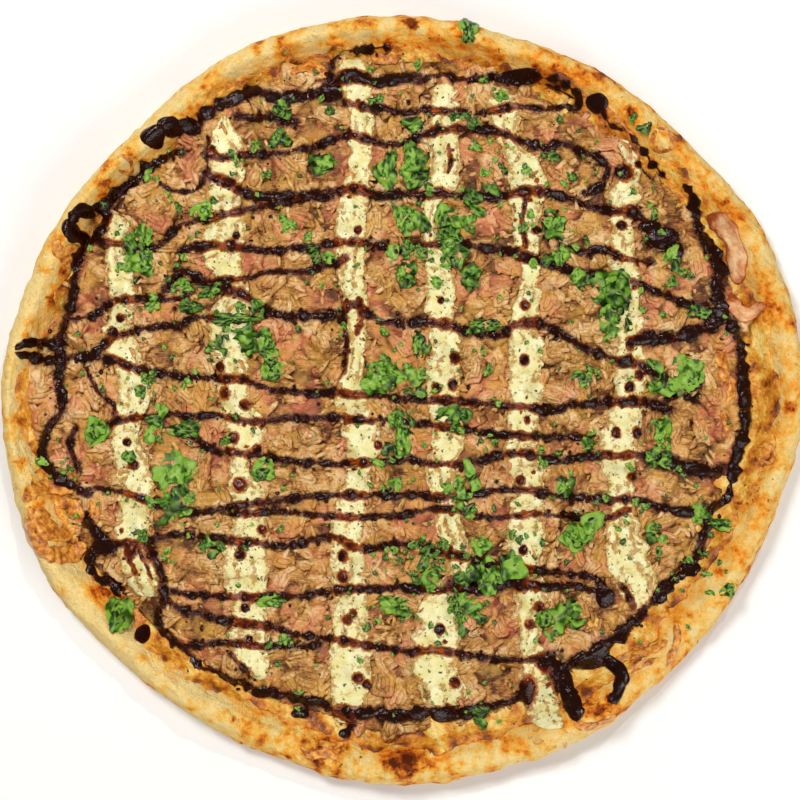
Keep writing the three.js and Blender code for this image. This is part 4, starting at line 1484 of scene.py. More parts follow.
DRIZZLES = (
    Drizzle(2.6, ((395, 45), (372, 47), (345, 50), (333, 62), (328, 82))),
    Drizzle(4.0, ((328, 82), (318, 90), (300, 96), (275, 97), (255, 90), (235, 97), (218, 103),
                  (205, 112), (190, 124), (170, 127), (153, 134))),
    Drizzle(3.6, ((182, 150), (168, 152), (150, 165), (130, 180), (112, 194), (103, 205), (88, 209),
                  (76, 217), (69, 230), (82, 240), (80, 252), (74, 266), (72, 284), (69, 302), (66, 318),
                  (60, 336))),
    Drizzle(3.5, ((60, 336), (59, 350), (62, 362), (58, 374), (58, 386), (60, 400), (57, 415), (47, 430),
                  (40, 445), (40, 460), (47, 471), (60, 482), (75, 488), (88, 494))),
    Drizzle(3.5, ((17, 351), (28, 344), (42, 341), (60, 347))),
    Drizzle(3.2, ((574, 404), (592, 404), (612, 402), (632, 401), (652, 403), (670, 408))),
    Drizzle(3.5, ((17, 351), (30, 357), (46, 361), (64, 359))),
    Drizzle(2.2, ((84, 362), (90, 378), (98, 392), (112, 404), (116, 414))),
    Drizzle(3.2, ((76, 428), (69, 440), (71, 455), (80, 470))),
    Drizzle(3.3, ((145, 543), (154, 558), (162, 580), (164, 600), (157, 616), (160, 632), (168, 642),
                  (182, 650), (200, 668), (225, 680), (250, 690), (275, 697), (300, 700), (325, 706),
                  (338, 716), (352, 724))),
    Drizzle(4.2, ((105, 207), (104, 219), (99, 230), (88, 238)), 0.4),
    Drizzle(3.6, ((86, 516), (95, 533), (103, 546), (87, 561), (94, 577), (108, 585), (119, 598))),
    Drizzle(4.0, ((330, 88), (345, 76), (362, 79), (380, 82), (400, 78), (418, 74))),
    Drizzle(4.0, ((340, 712), (370, 714), (400, 716), (432, 713), (458, 716), (478, 708))),
    Drizzle(2.9, ((345, 102), (370, 106), (400, 112), (430, 108), (470, 112), (520, 108), (560, 107),
                  (580, 102), (573, 89), (555, 79), (520, 76), (495, 76), (465, 79), (440, 73),
                  (418, 80))),
    Drizzle(2.0, ((545, 83), (562, 90), (577, 99))),
    Drizzle(2.9, ((588, 96), (600, 108), (612, 124), (632, 136), (646, 150), (657, 165), (668, 178))),
    Drizzle(3.6, ((683, 183), (691, 195), (698, 213), (702, 232))),
    Drizzle(5.6, ((702, 231), (709, 243), (717, 256), (722, 268), (722, 280)), 0.2),
    Drizzle(4.4, ((720, 276), (718, 290), (722, 305), (716, 322), (700, 330), (680, 338), (645, 338))),
    Drizzle(4.1, ((728, 318), (740, 338), (745, 360), (746, 385), (749, 412), (746, 440), (738, 463),
                  (735, 482), (728, 498), (714, 511), (708, 526), (701, 552), (690, 570), (670, 586),
                  (655, 604))),
    Drizzle(4.4, ((648, 612), (628, 630), (600, 650), (575, 664), (553, 676))),
    Drizzle(3.4, ((235, 115), (252, 116), (270, 118), (295, 122))),
    Drizzle(3.2, ((205, 155), (228, 157), (250, 155), (290, 152), (320, 145), (345, 133), (375, 142),
                  (400, 143), (420, 135), (455, 130), (490, 130), (515, 138), (545, 147), (560, 143),
                  (590, 155), (608, 168), (600, 185), (585, 192))),
    Drizzle(3.4, ((205, 175), (225, 180), (250, 195), (300, 195), (350, 187), (380, 196), (430, 193),
                  (490, 197), (530, 192), (570, 198), (605, 210), (635, 213), (660, 235))),
    Drizzle(3.0, ((85, 240), (115, 243), (145, 249), (160, 247), (168, 236), (178, 226), (200, 218),
                  (230, 213), (270, 205), (300, 199), (330, 195))),
    Drizzle(3.2, ((180, 250), (215, 245), (260, 250), (300, 247), (335, 243), (375, 245), (395, 253),
                  (420, 243), (475, 245), (505, 250), (540, 260), (575, 270), (605, 275), (645, 285),
                  (680, 300), (715, 305))),
    Drizzle(2.8, ((205, 283), (235, 280), (270, 272), (310, 270), (345, 258))),
    Drizzle(3.4, ((205, 283), (225, 289), (250, 298), (275, 315), (305, 316), (330, 315), (355, 305),
                  (385, 322), (435, 322), (465, 330), (500, 335), (515, 325), (545, 325), (580, 345),
                  (610, 358), (645, 368), (665, 378))),
    Drizzle(2.8, ((75, 318), (95, 315), (110, 302), (150, 299), (175, 300), (192, 291))),
    Drizzle(3.0, ((62, 357), (90, 355), (110, 340), (140, 330), (175, 325), (200, 318), (240, 318))),
    Drizzle(3.0, ((62, 357), (80, 355), (100, 357), (125, 365), (150, 372), (190, 378), (235, 378),
                  (255, 383), (275, 390), (330, 393), (375, 395), (400, 398), (470, 402), (545, 410),
                  (575, 405))),
    Drizzle(2.8, ((108, 424), (120, 420), (160, 415), (225, 417), (250, 422), (300, 417), (375, 420),
                  (430, 425), (490, 433), (530, 437), (590, 440))),
    Drizzle(2.9, ((180, 430), (198, 440), (215, 450), (255, 455), (310, 463), (360, 463), (400, 460),
                  (455, 465), (490, 458), (520, 453), (560, 460), (625, 455), (655, 460), (700, 470))),
    Drizzle(2.8, ((88, 489), (120, 492), (150, 503), (165, 507))),
    Drizzle(3.0, ((190, 515), (210, 510), (235, 507), (300, 498), (350, 495), (400, 495), (445, 497),
                  (510, 490), (555, 495), (600, 500), (640, 500), (685, 512), (706, 506))),
    Drizzle(2.6, ((230, 514), (270, 512), (315, 515), (355, 518), (400, 515), (440, 508), (480, 517),
                  (545, 515), (600, 518), (630, 510))),
    Drizzle(3.0, ((110, 547), (145, 542), (175, 535), (225, 540), (285, 545), (325, 537), (360, 547),
                  (400, 545), (450, 555), (505, 565), (545, 572), (590, 575), (604, 588))),
    Drizzle(2.8, ((170, 592), (205, 596), (255, 597), (295, 597), (350, 590), (400, 588), (460, 590),
                  (500, 585), (540, 585), (590, 590), (607, 604))),
    Drizzle(3.0, ((165, 602), (182, 609), (205, 617), (255, 625), (300, 635), (345, 643), (400, 650),
                  (450, 652), (500, 660), (530, 659), (550, 655))),
    Drizzle(3.0, ((180, 650), (200, 646), (225, 643), (270, 647), (320, 645))),
    Drizzle(2.2, ((230, 655), (240, 666), (250, 678))),
    Drizzle(2.0, ((346, 300), (343, 322), (347, 345), (344, 372))),
    Drizzle(1.6, ((209, 138), (207, 158), (210, 182))),
    Drizzle(2.4, ((345, 735), (352, 724))),
    Drizzle(4.8, ((648, 457), (666, 461), (690, 466), (712, 473), (724, 467))),
    Drizzle(3.0, ((530, 690), (512, 702), (494, 708), (478, 708))),
    Drizzle(5.0, ((596, 662), (611, 665), (620, 676), (617, 692), (606, 700)), 0.3),
    Drizzle(6.6, ((550, 660), (558, 672), (566, 690), (573, 708), (576, 720)), 0.3),
    Drizzle(2.8, ((560, 246), (582, 252), (604, 250), (630, 258), (652, 262))),
    Drizzle(2.6, ((668, 400), (682, 396), (698, 402))),
    Drizzle(2.4, ((160, 182), (176, 190), (196, 188), (206, 176))),
    Drizzle(4.2, ((452, 584), (478, 588), (505, 584), (530, 586))),
    Drizzle(2.0, ((132, 545), (130, 558), (136, 572))),
    Drizzle(1.8, ((138, 548), (144, 560), (153, 578))),
    Drizzle(3.6, ((166, 288), (176, 274), (190, 272), (203, 284))),
    Drizzle(2.4, ((620, 582), (628, 594), (634, 606))),
    Drizzle(1.8, ((521, 186), (524, 205), (522, 228), (526, 246))),
    Drizzle(1.8, ((448, 148), (450, 160), (447, 172))),
    Drizzle(2.0, ((358, 300), (361, 318), (356, 334))),
)

BLOBS = (  # middle, and half lengths across x and y, on the plan grid
    (153, 137, 13, 12), (172, 128, 12, 9), (190, 126, 11, 9), (598, 103, 11, 10), (103, 547, 12, 9),
    (87, 560, 6, 7), (300, 715, 10, 6), (345, 735, 6, 5), (625, 172, 9, 8), (640, 163, 4, 4),
    (567, 688, 8, 16), (573, 704, 8, 12), (527, 692, 9, 15), (716, 316, 14, 10), (662, 238, 18, 12),
    (650, 226, 12, 7), (676, 250, 9, 8), (520, 76, 22, 8), (85, 212, 10, 8), (72, 232, 8, 12),
    (605, 597, 9, 12), (600, 652, 10, 8), (478, 712, 12, 7), (747, 400, 7, 12), (492, 586, 14, 7),
    (686, 512, 14, 6), (590, 662, 14, 9), (548, 664, 9, 10), (396, 716, 20, 7), (445, 716, 14, 8),
    (330, 92, 11, 9), (700, 470, 12, 6), (640, 340, 12, 5), (206, 112, 9, 8), (262, 694, 12, 6),
    (692, 384, 11, 8), (528, 258, 11, 5), (559, 261, 9, 5),
)

DROPS = (  # round drops on the cream: middle and radius, on the plan grid
    (120, 318, 5), (112, 333, 6), (140, 390, 5), (220, 367, 5), (225, 393, 6), (245, 405, 6),
    (233, 438, 6), (257, 450, 5), (133, 465, 6), (127, 442, 4), (130, 552, 7), (142, 635, 8),
    (240, 485, 8), (262, 530, 5), (240, 555, 5), (245, 608, 5), (343, 557, 5), (343, 577, 6),
    (347, 620, 5), (353, 614, 4), (358, 678, 6), (367, 685, 5), (378, 445, 5), (437, 388, 5),
    (453, 385, 5), (455, 358, 5), (440, 630, 5), (455, 683, 6), (525, 305, 5), (537, 230, 5),
    (525, 360, 5), (520, 480, 5), (523, 550, 5), (540, 607, 5), (530, 625, 5), (617, 433, 5),
    (637, 433, 5), (632, 477, 5), (630, 345, 5), (630, 358, 4), (640, 375, 5), (630, 387, 5),
    (212, 150, 4), (236, 235, 4), (358, 230, 4), (441, 300, 4), (527, 420, 4), (249, 640, 4),
    (622, 225, 5),
)


@dataclass
class Sauce:
    """The dark sauce: runs drizzled over everything, puddles and drops."""

    step: float = 1.0
    rise: float = 1.0
    thick_run: float = 3.5
    ragged: float = 0.35
    pool_rise: float = 1.2
    variants: int = 16
    seed: int = 31
    paths: list[tuple[np.ndarray, np.ndarray, np.ndarray, float]] = field(default_factory=list)
    spots: list[tuple[float, float, float, float, float, int]] = field(default_factory=list)
    soak: Grid = field(default_factory=lambda: Grid(step=0.4))

    def __post_init__(self) -> None:
        """Work out every run, pool and droplet, and what they soak."""
        for number, run in enumerate(DRIZZLES):
            self.plan_run(number, run)
        self.plan_spots()

    def plan_run(self, number: int, run: Drizzle) -> None:
        """Let one run wander a little and give it a width at each station.

        Args:
            number: place of the run in the list, which picks its noise.
            run: width and places of the run.
        """
        path = plan_path(run.places, self.step)
        marks = marks_along(path, self.step, 3.0 * number)
        side = sideways(path)
        path = path + side * (1.0 * noise_at(marks, 9.0, 1) + 0.6 * noise_at(marks, 3.0, 2))[:, None]
        uneven = noise_at(marks, 5.5, 3) + 0.9 * noise_at(marks, 2.2, 4)
        beads = np.clip(1.0 + run.beading * uneven, 0.3, 1.6)
        if run.width < self.thick_run:
            gaps = np.clip((noise_at(marks, 3.4, 6) + 0.22) / 0.2, 0.0, 1.0)
            beads = beads * (0.16 + 0.76 * gaps)
        half = 0.5 * run.width * beads * taper(path, 3.0)
        self.paths.append((path, side, half, run.width))
        for (x, y), width in zip(path.tolist(), (0.6 * run.width * (0.6 + 0.4 * beads)).tolist()):
            self.soak.mark(x, y, width, width)

    def plan_spots(self) -> None:
        """List the pools, the drops on the cream and stray droplets near the runs."""
        rng = random.Random(self.seed)
        marks = [(x, y, rx, ry, self.pool_rise, 3) for x, y, rx, ry in BLOBS]
        marks += [(x, y, r * rng.uniform(0.8, 1.05), r * rng.uniform(0.8, 1.15), 1.0, 3) for x, y, r in DROPS]
        for x, y, rx, ry, rise, detail in marks:
            self.add_spot(*on_plan((x, y)), rx * PLAN_UNIT, ry * PLAN_UNIT, rise, detail)
        for path, _, _, width in self.paths:
            for x, y in path[::4].tolist():
                size = rng.uniform(0.35, 1.0)
                away = width * rng.choice((0.4, 0.4, 0.55, 1.2))
                px, py, tall = x + rng.gauss(0, away), y + rng.gauss(0, away), size * rng.uniform(0.6, 1.4)
                if math.hypot(px, py) < OUTLINE.tuna_radius(math.atan2(py, px)) + 3.0:
                    self.add_spot(px, py, size, tall, 0.6, 1)

    def add_spot(self, px: float, py: float, rx: float, ry: float, rise: float, detail: int) -> None:
        """Note a pool or droplet, unless it would fall off the crust."""
        if OUTLINE.holds(px, py, 6.0):
            self.spots.append((px, py, rx, ry, rise, detail))
            self.soak.mark(px, py, 1.02 * rx, 1.02 * ry)

    def build_runs(self, table: HeightField, cream: Grid) -> bpy.types.Object:
        """Lay every run as an uneven bead that follows what lies beneath.

        Args:
            table: heights of what lies beneath.
            cream: grid that is 1 where cream shows.

        Returns:
            The finished piece.
        """
        bm = bmesh.new()
        low, high = table.spread(0.8), table.crests(0.8)
        floor = Grid(low.half, low.step, 0.7 * low.values + 0.3 * high.values)
        for path, side, half, width in self.paths:
            marks = np.stack([path[:, 0], path[:, 1], np.zeros(len(path))], axis=1)
            ragged = 1.0 + self.ragged * noise_at(marks, 2.8, 5)
            left = path + side * (half * ragged)[:, None]
            right = path - side * (half * (2.0 - ragged))[:, None]
            rise = self.rise * np.clip(2.0 * half / width, 0.0, 1.3) * (width / 3.2) ** 0.5
            lay_band(bm, left, right, rise, 0.5, (7, 2), floor.at, 0.7)
        weld(bm)
        thickness = np.clip(layer_of(bm, "crest"), 0.0, 1.6)
        mesh = mesh_from(bm, "sauce_drizzle")
        points = points_of(mesh)
        on_cream = cream.spread(0.8).at(points[:, 0], points[:, 1])
        return finish_piece("sauce_drizzle", mesh, points, DarkSauce(), ["tuna"],
                            {"thickness": thickness, "on_cream": on_cream})

    def drop_shape(self, rng: random.Random, detail: int) -> Shape:
        """A round drop of unit reach with an uneven edge and a flattened top.

        Args:
            rng: source of the random draws.
            detail: subdivisions of the sphere that it starts from.

        Returns:
            The shape, of unit size.
        """
        bm = bmesh.new()
        bmesh.ops.create_icosphere(bm, subdivisions=detail, radius=1.0)
        shift = Vector((rng.uniform(0, 50), rng.uniform(0, 50), 0.0))
        for vert in bm.verts:
            x, y, z = vert.co
            wobble = 1.0 + 0.35 * noise.noise(Vector((x, y, 0.0)) * 0.9 + shift)
            vert.co = (x * wobble, y * wobble, math.copysign(abs(z) ** 0.75, z))
        return shape_from(bm, {})

    def build_pools(self, table: HeightField, cream: Grid) -> bpy.types.Object:
        """Lay pools, drops and stray droplets as flat domes.

        Args:
            table: heights of what lies beneath.
            cream: grid that is 1 where cream shows.

        Returns:
            The finished piece.
        """
        rng = random.Random(self.seed)
        ground = table.spread(1.6)
        shapes = {detail: [self.drop_shape(rng, detail) for _ in range(self.variants)] for detail in (1, 3)}
        scatter = Scatter()
        for px, py, rx, ry, rise, detail in self.spots:
            scatter.add(rng.choice(shapes[detail]), Matrix.Diagonal((rx, ry, rise)), (px, py, 0.0), 0.5)
        points = np.vstack(scatter.points)
        up = points[:, 2].copy()
        points[:, 2] = ground.at(points[:, 0], points[:, 1]) + np.where(up > 0, up, 0.4 * up)
        scatter.points = [points]
        scatter.values.update(thickness=[np.clip(up, 0.0, 1.6)],
                              on_cream=[cream.spread(0.8).at(points[:, 0], points[:, 1])])
        return scatter.finish("sauce_pools", DarkSauce(), Slot.TUNA, ["tuna"])


# ---- Parsley ---------------------------------------------------------------------------------------


@dataclass
class Parsley:
    """Torn flat parsley: large leaves that are solids of their own, and chopped bits."""

    seed: int = 77
    thickness: float = 0.06  # share of a leaf's reach
    variants: int = 16
    near_bits: int = 300
    loose_bits: int = 220
    loose_reach: float = 335.0
    bits: tuple[tuple[float, float, float], ...] = (
        (323, 108, 14), (255, 148, 10), (235, 155, 10), (265, 175, 11), (153, 175, 14), (175, 203, 9),
        (182, 260, 12), (288, 225, 15), (313, 237, 10), (317, 258, 17), (155, 310, 14), (257, 310, 18),
        (145, 380, 10), (128, 262, 12), (185, 380, 10), (385, 330, 11), (380, 97, 10), (415, 60, 11),
        (487, 82, 8), (505, 92, 12), (140, 250, 20), (450, 117, 11), (472, 120, 16), (490, 170, 12),
        (475, 145, 13), (552, 155, 11), (568, 178, 14), (205, 296, 16), (637, 117, 16), (525, 170, 12),
        (440, 262, 26), (470, 205, 24), (560, 258, 18), (585, 240, 14), (465, 265, 28), (657, 212, 12),
        (675, 265, 20), (693, 275, 10), (585, 280, 18), (612, 318, 26), (480, 350, 8), (485, 372, 12),
        (582, 375, 15), (410, 382, 22), (660, 378, 26), (155, 425, 22), (38, 465, 13), (65, 470, 11),
        (165, 510, 32), (225, 440, 12), (210, 545, 18), (165, 553, 10), (280, 637, 12), (280, 532, 10),
        (395, 420, 18), (390, 455, 18), (390, 480, 14), (370, 620, 12), (300, 693, 10), (455, 414, 24),
        (470, 480, 20), (537, 450, 12), (541, 467, 10), (592, 440, 18), (655, 452, 18), (680, 470, 12),
        (640, 505, 11), (703, 513, 16), (402, 160, 34), (412, 218, 24), (425, 570, 22), (478, 616, 24),
        (405, 610, 18), (483, 715, 18), (715, 600, 18), (740, 590, 14), (690, 562, 8), (415, 545, 12),
        (445, 545, 12), (500, 572, 26), (470, 575, 26), (395, 560, 10), (430, 590, 14), (350, 590, 8),
        (520, 535, 12), (585, 538, 26), (602, 500, 10), (455, 500, 11), (660, 535, 18), (495, 440, 9),
        (384, 374, 28), (242, 342, 28), (218, 340, 16), (268, 352, 18), (176, 486, 26), (128, 455, 14),
        (140, 535, 12), (582, 618, 22), (524, 216, 12), (455, 612, 14), (448, 240, 18), (404, 246, 16),
        (612, 290, 20), (630, 468, 10), (622, 300, 20), (612, 316, 16), (606, 300, 14), (462, 218, 20),
        (450, 230, 14), (460, 496, 18), (466, 508, 14), (448, 488, 14), (420, 176, 16), (428, 190, 12),
        (186, 500, 15), (380, 366, 15), (418, 580, 14), (460, 580, 15), (440, 560, 12), (455, 606, 14),
        (424, 540, 12), (140, 392, 12), (150, 372, 10), (664, 456, 15), (456, 424, 12), (736, 580, 10),
        (708, 572, 10), (536, 262, 12), (422, 254, 12),
    )

    def leaf_shape(self, rng: random.Random, rings: int, spokes: int) -> Shape:
        """One lobed and toothed leaf of unit radius, folded and crumpled, with both faces.

        Args:
            rng: source of the random draws.
            rings: faces from the middle to the edge.
            spokes: faces around.

        Returns:
            The shape, of unit reach.
        """
        lobes = [rng.uniform(0, 0.5) + k * math.tau / 3 + rng.uniform(-0.35, 0.35) for k in range(3)]
        lobes += [rng.uniform(0, math.tau)]
        reaches = [rng.uniform(0.75, 1.0) for _ in lobes]
        teeth = rng.choice((11, 13, 15))
        offset = Vector((rng.uniform(0, 90), rng.uniform(0, 90), 0.0))
        crumple = rng.uniform(0.14, 0.3)
        bm = bmesh.new()
        bmesh.ops.create_grid(bm, x_segments=rings, y_segments=spokes, size=1.0)
        vein = bm.verts.layers.float.new("vein")
        fold = bm.verts.layers.float.new("fold")
        for vert in bm.verts:
            out = (vert.co.x + 1) * 0.5
            turn = (vert.co.y + 1) * math.pi
            turns = [math.atan2(math.sin(turn - lobe), math.cos(turn - lobe)) for lobe in lobes]
            lobe = max(reach * math.exp(-((t / 0.6) ** 2)) for t, reach in zip(turns, reaches))
            tooth = abs(math.sin(0.5 * teeth * turn + offset.x))
            radius = out * (0.62 + 0.4 * lobe) * (1.0 + out * (0.13 * tooth - 0.06))
            flat = Vector((radius * math.cos(turn), radius * math.sin(turn), 0.0))
            rib = math.exp(-((min(abs(t) for t in turns) * out / 0.1) ** 2))
            rise = crumple * noise.noise(flat * 1.7 + offset) + 0.07 * noise.noise(flat * 5.0 + offset)
            vert.co = flat + Vector((0.0, 0.0, rise - 0.06 * rib * out))
            vert[vein] = 0.42 * rib * (1.0 - 0.7 * out)
            # Painted light and shade: a noise makes bright and dark patches, and the edge is made darker.
            light = noise.noise(flat * 1.9 + offset + Vector((0.2, 0.25, 0.0)))
            vert[fold] = min(1.0, max(0.0, 0.55 + 2.2 * light - 0.5 * max(0.0, out - 0.8)))
        bmesh.ops.remove_doubles(bm, verts=bm.verts, dist=1e-5)
        bmesh.ops.recalc_face_normals(bm, faces=bm.faces)
        if sum(face.normal.z for face in bm.faces) < 0:
            bmesh.ops.reverse_faces(bm, faces=bm.faces)
        bmesh.ops.triangulate(bm, faces=bm.faces)
        bmesh.ops.solidify(bm, geom=bm.faces[:], thickness=self.thickness)
        bmesh.ops.recalc_face_normals(bm, faces=bm.faces)
        bmesh.ops.triangulate(bm, faces=bm.faces)
        return shape_from(bm, {key: layer_of(bm, key) for key in ("vein", "fold")})

    def build_leaves(self, table: HeightField) -> list[bpy.types.Object]:
        """Lay a large leaf, and small ones over it, in the place of each solid leaf.

        Args:
            table: heights of what lies beneath.

        Returns:
            The finished pieces.
        """
        rng = random.Random(self.seed)
        ground, crests = table.spread(2.4), table.crests(1.6)
        pieces = []
        for node in sorted(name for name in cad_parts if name.startswith("parsley_")):
            low, high = (np.array(corner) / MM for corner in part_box(node))
            middle = 0.5 * (low + high)[:2] - np.array(PLAN_SHIFT)
            size = 0.5 * (high - low)[:2] * 1.08
            leaflets = [(1.0, 0.0, 0.0)]
            for _ in range(round(size.sum() / 7)):
                leaflets.append((rng.uniform(0.4, 0.6), rng.uniform(-0.45, 0.45), rng.uniform(-0.45, 0.45)))
            scatter = Scatter()
            for number, (share, across, up) in enumerate(leaflets):
                turn = Matrix.Rotation(rng.uniform(0, math.tau), 3, "Z")
                stretch = Matrix.Diagonal((size[0] * share, size[1] * share, 0.4 * size.sum() * share))
                place = (middle[0] + across * size[0], middle[1] + up * size[1], 0.45 * number)
                scatter.add(self.leaf_shape(rng, 9, 54), stretch @ turn, place, rng.uniform(0.1, 1.0))
            points = np.vstack(scatter.points)
            highest = crests.at(points[:, 0], points[:, 1]) - 0.9
            points[:, 2] += np.maximum(ground.at(points[:, 0], points[:, 1]), highest) + 0.5
            scatter.points = [points]
            pieces.append(scatter.finish(f"leaf_{node}", ParsleyLeaf(), Slot.PARSLEY, [node]))
        return pieces

    def build_bits(self, table: HeightField) -> bpy.types.Object:
        """Scatter smaller leaves and chopped bits, denser near the large leaves.

        Args:
            table: heights of what lies beneath.

        Returns:
            The finished piece.
        """
        rng = random.Random(self.seed + 1)
        shapes = [self.leaf_shape(rng, 3, 16) for _ in range(self.variants)]
        spots = []
        for x, y, size in self.bits:
            away = size * 0.3
            for _ in range(5 if size > 14 else 3):
                spots.append((x + rng.gauss(0, away), y + rng.gauss(0, away), size * rng.uniform(0.35, 0.8)))
        for _ in range(self.near_bits):
            x, y, _ = rng.choice(self.bits)
            spots.append((x + rng.gauss(0, 24), y + rng.gauss(0, 20), rng.uniform(2.2, 6.5)))
        middle_x, middle_y = PLAN_CENTRE
        for _ in range(self.loose_bits):
            angle, out = rng.uniform(0, math.tau), math.sqrt(rng.random()) * self.loose_reach
            x, y = middle_x + out * math.cos(angle), middle_y + out * math.sin(angle)
            spots.append((x, y, rng.uniform(1.8, 4.5)))
        scatter = Scatter()
        near, crests = table.spread(0.8), table.crests(0.8)
        for x, y, size in spots:
            px, py = on_plan((x, y))
            if not OUTLINE.holds(px, py, 7.0):
                continue
            radius = size * PLAN_UNIT * 0.78
            tilt = (rng.uniform(-0.45, 0.45), rng.uniform(-0.45, 0.45), rng.uniform(0, math.tau))
            stretch = Matrix.Diagonal((radius, radius * rng.uniform(0.5, 1.0), radius))
            lift = 0.5 * float(near.at(px, py) + crests.at(px, py)) + 0.4
            turn = Euler(tilt).to_matrix() @ stretch
            scatter.add(rng.choice(shapes), turn, (px, py, lift), rng.uniform(0.05, 1.0))
        return scatter.finish("parsley_bits", ParsleyLeaf(), Slot.PARSLEY)


@dataclass
class HerbSpecks:
    """Specks of dried herb and pepper over the cream and the rim."""

    seed: int = 5
    number: int = 1500
    reach: float = 143.0
    off_cream: float = 0.12

    def build(self, table: HeightField, cream: Grid) -> bpy.types.Object:
        """Scatter specks, most of them on the cream.

        Args:
            table: heights of what lies beneath.
            cream: grid that is 1 where cream shows.

        Returns:
            The finished piece.
        """
        rng = random.Random(self.seed)
        bm = bmesh.new()
        bmesh.ops.create_icosphere(bm, subdivisions=1, radius=1.0)
        shape = shape_from(bm, {})
        scatter = Scatter()
        while len(scatter.points) < self.number:
            x, y = rng.uniform(-140, 140), rng.uniform(-135, 135)
            on_cream = float(cream.at(x, y))
            if math.hypot(x, y) > self.reach or (on_cream < 0.5 and rng.random() > self.off_cream):
                continue
            size = rng.uniform(0.18, 0.5)
            turn = Euler((rng.uniform(0, 3), rng.uniform(0, 3), rng.uniform(0, 3))).to_matrix()
            sized = turn @ Matrix.Diagonal((size * rng.uniform(1.0, 2.4), size, size * 0.6))
            scatter.add(shape, sized, (x, y, float(table.at(x, y)) + 0.05), rng.random())
        return scatter.finish("herb_specks", DriedHerb(), Slot.PARSLEY)


# ---- What lies on the rim --------------------------------------------------------------------------


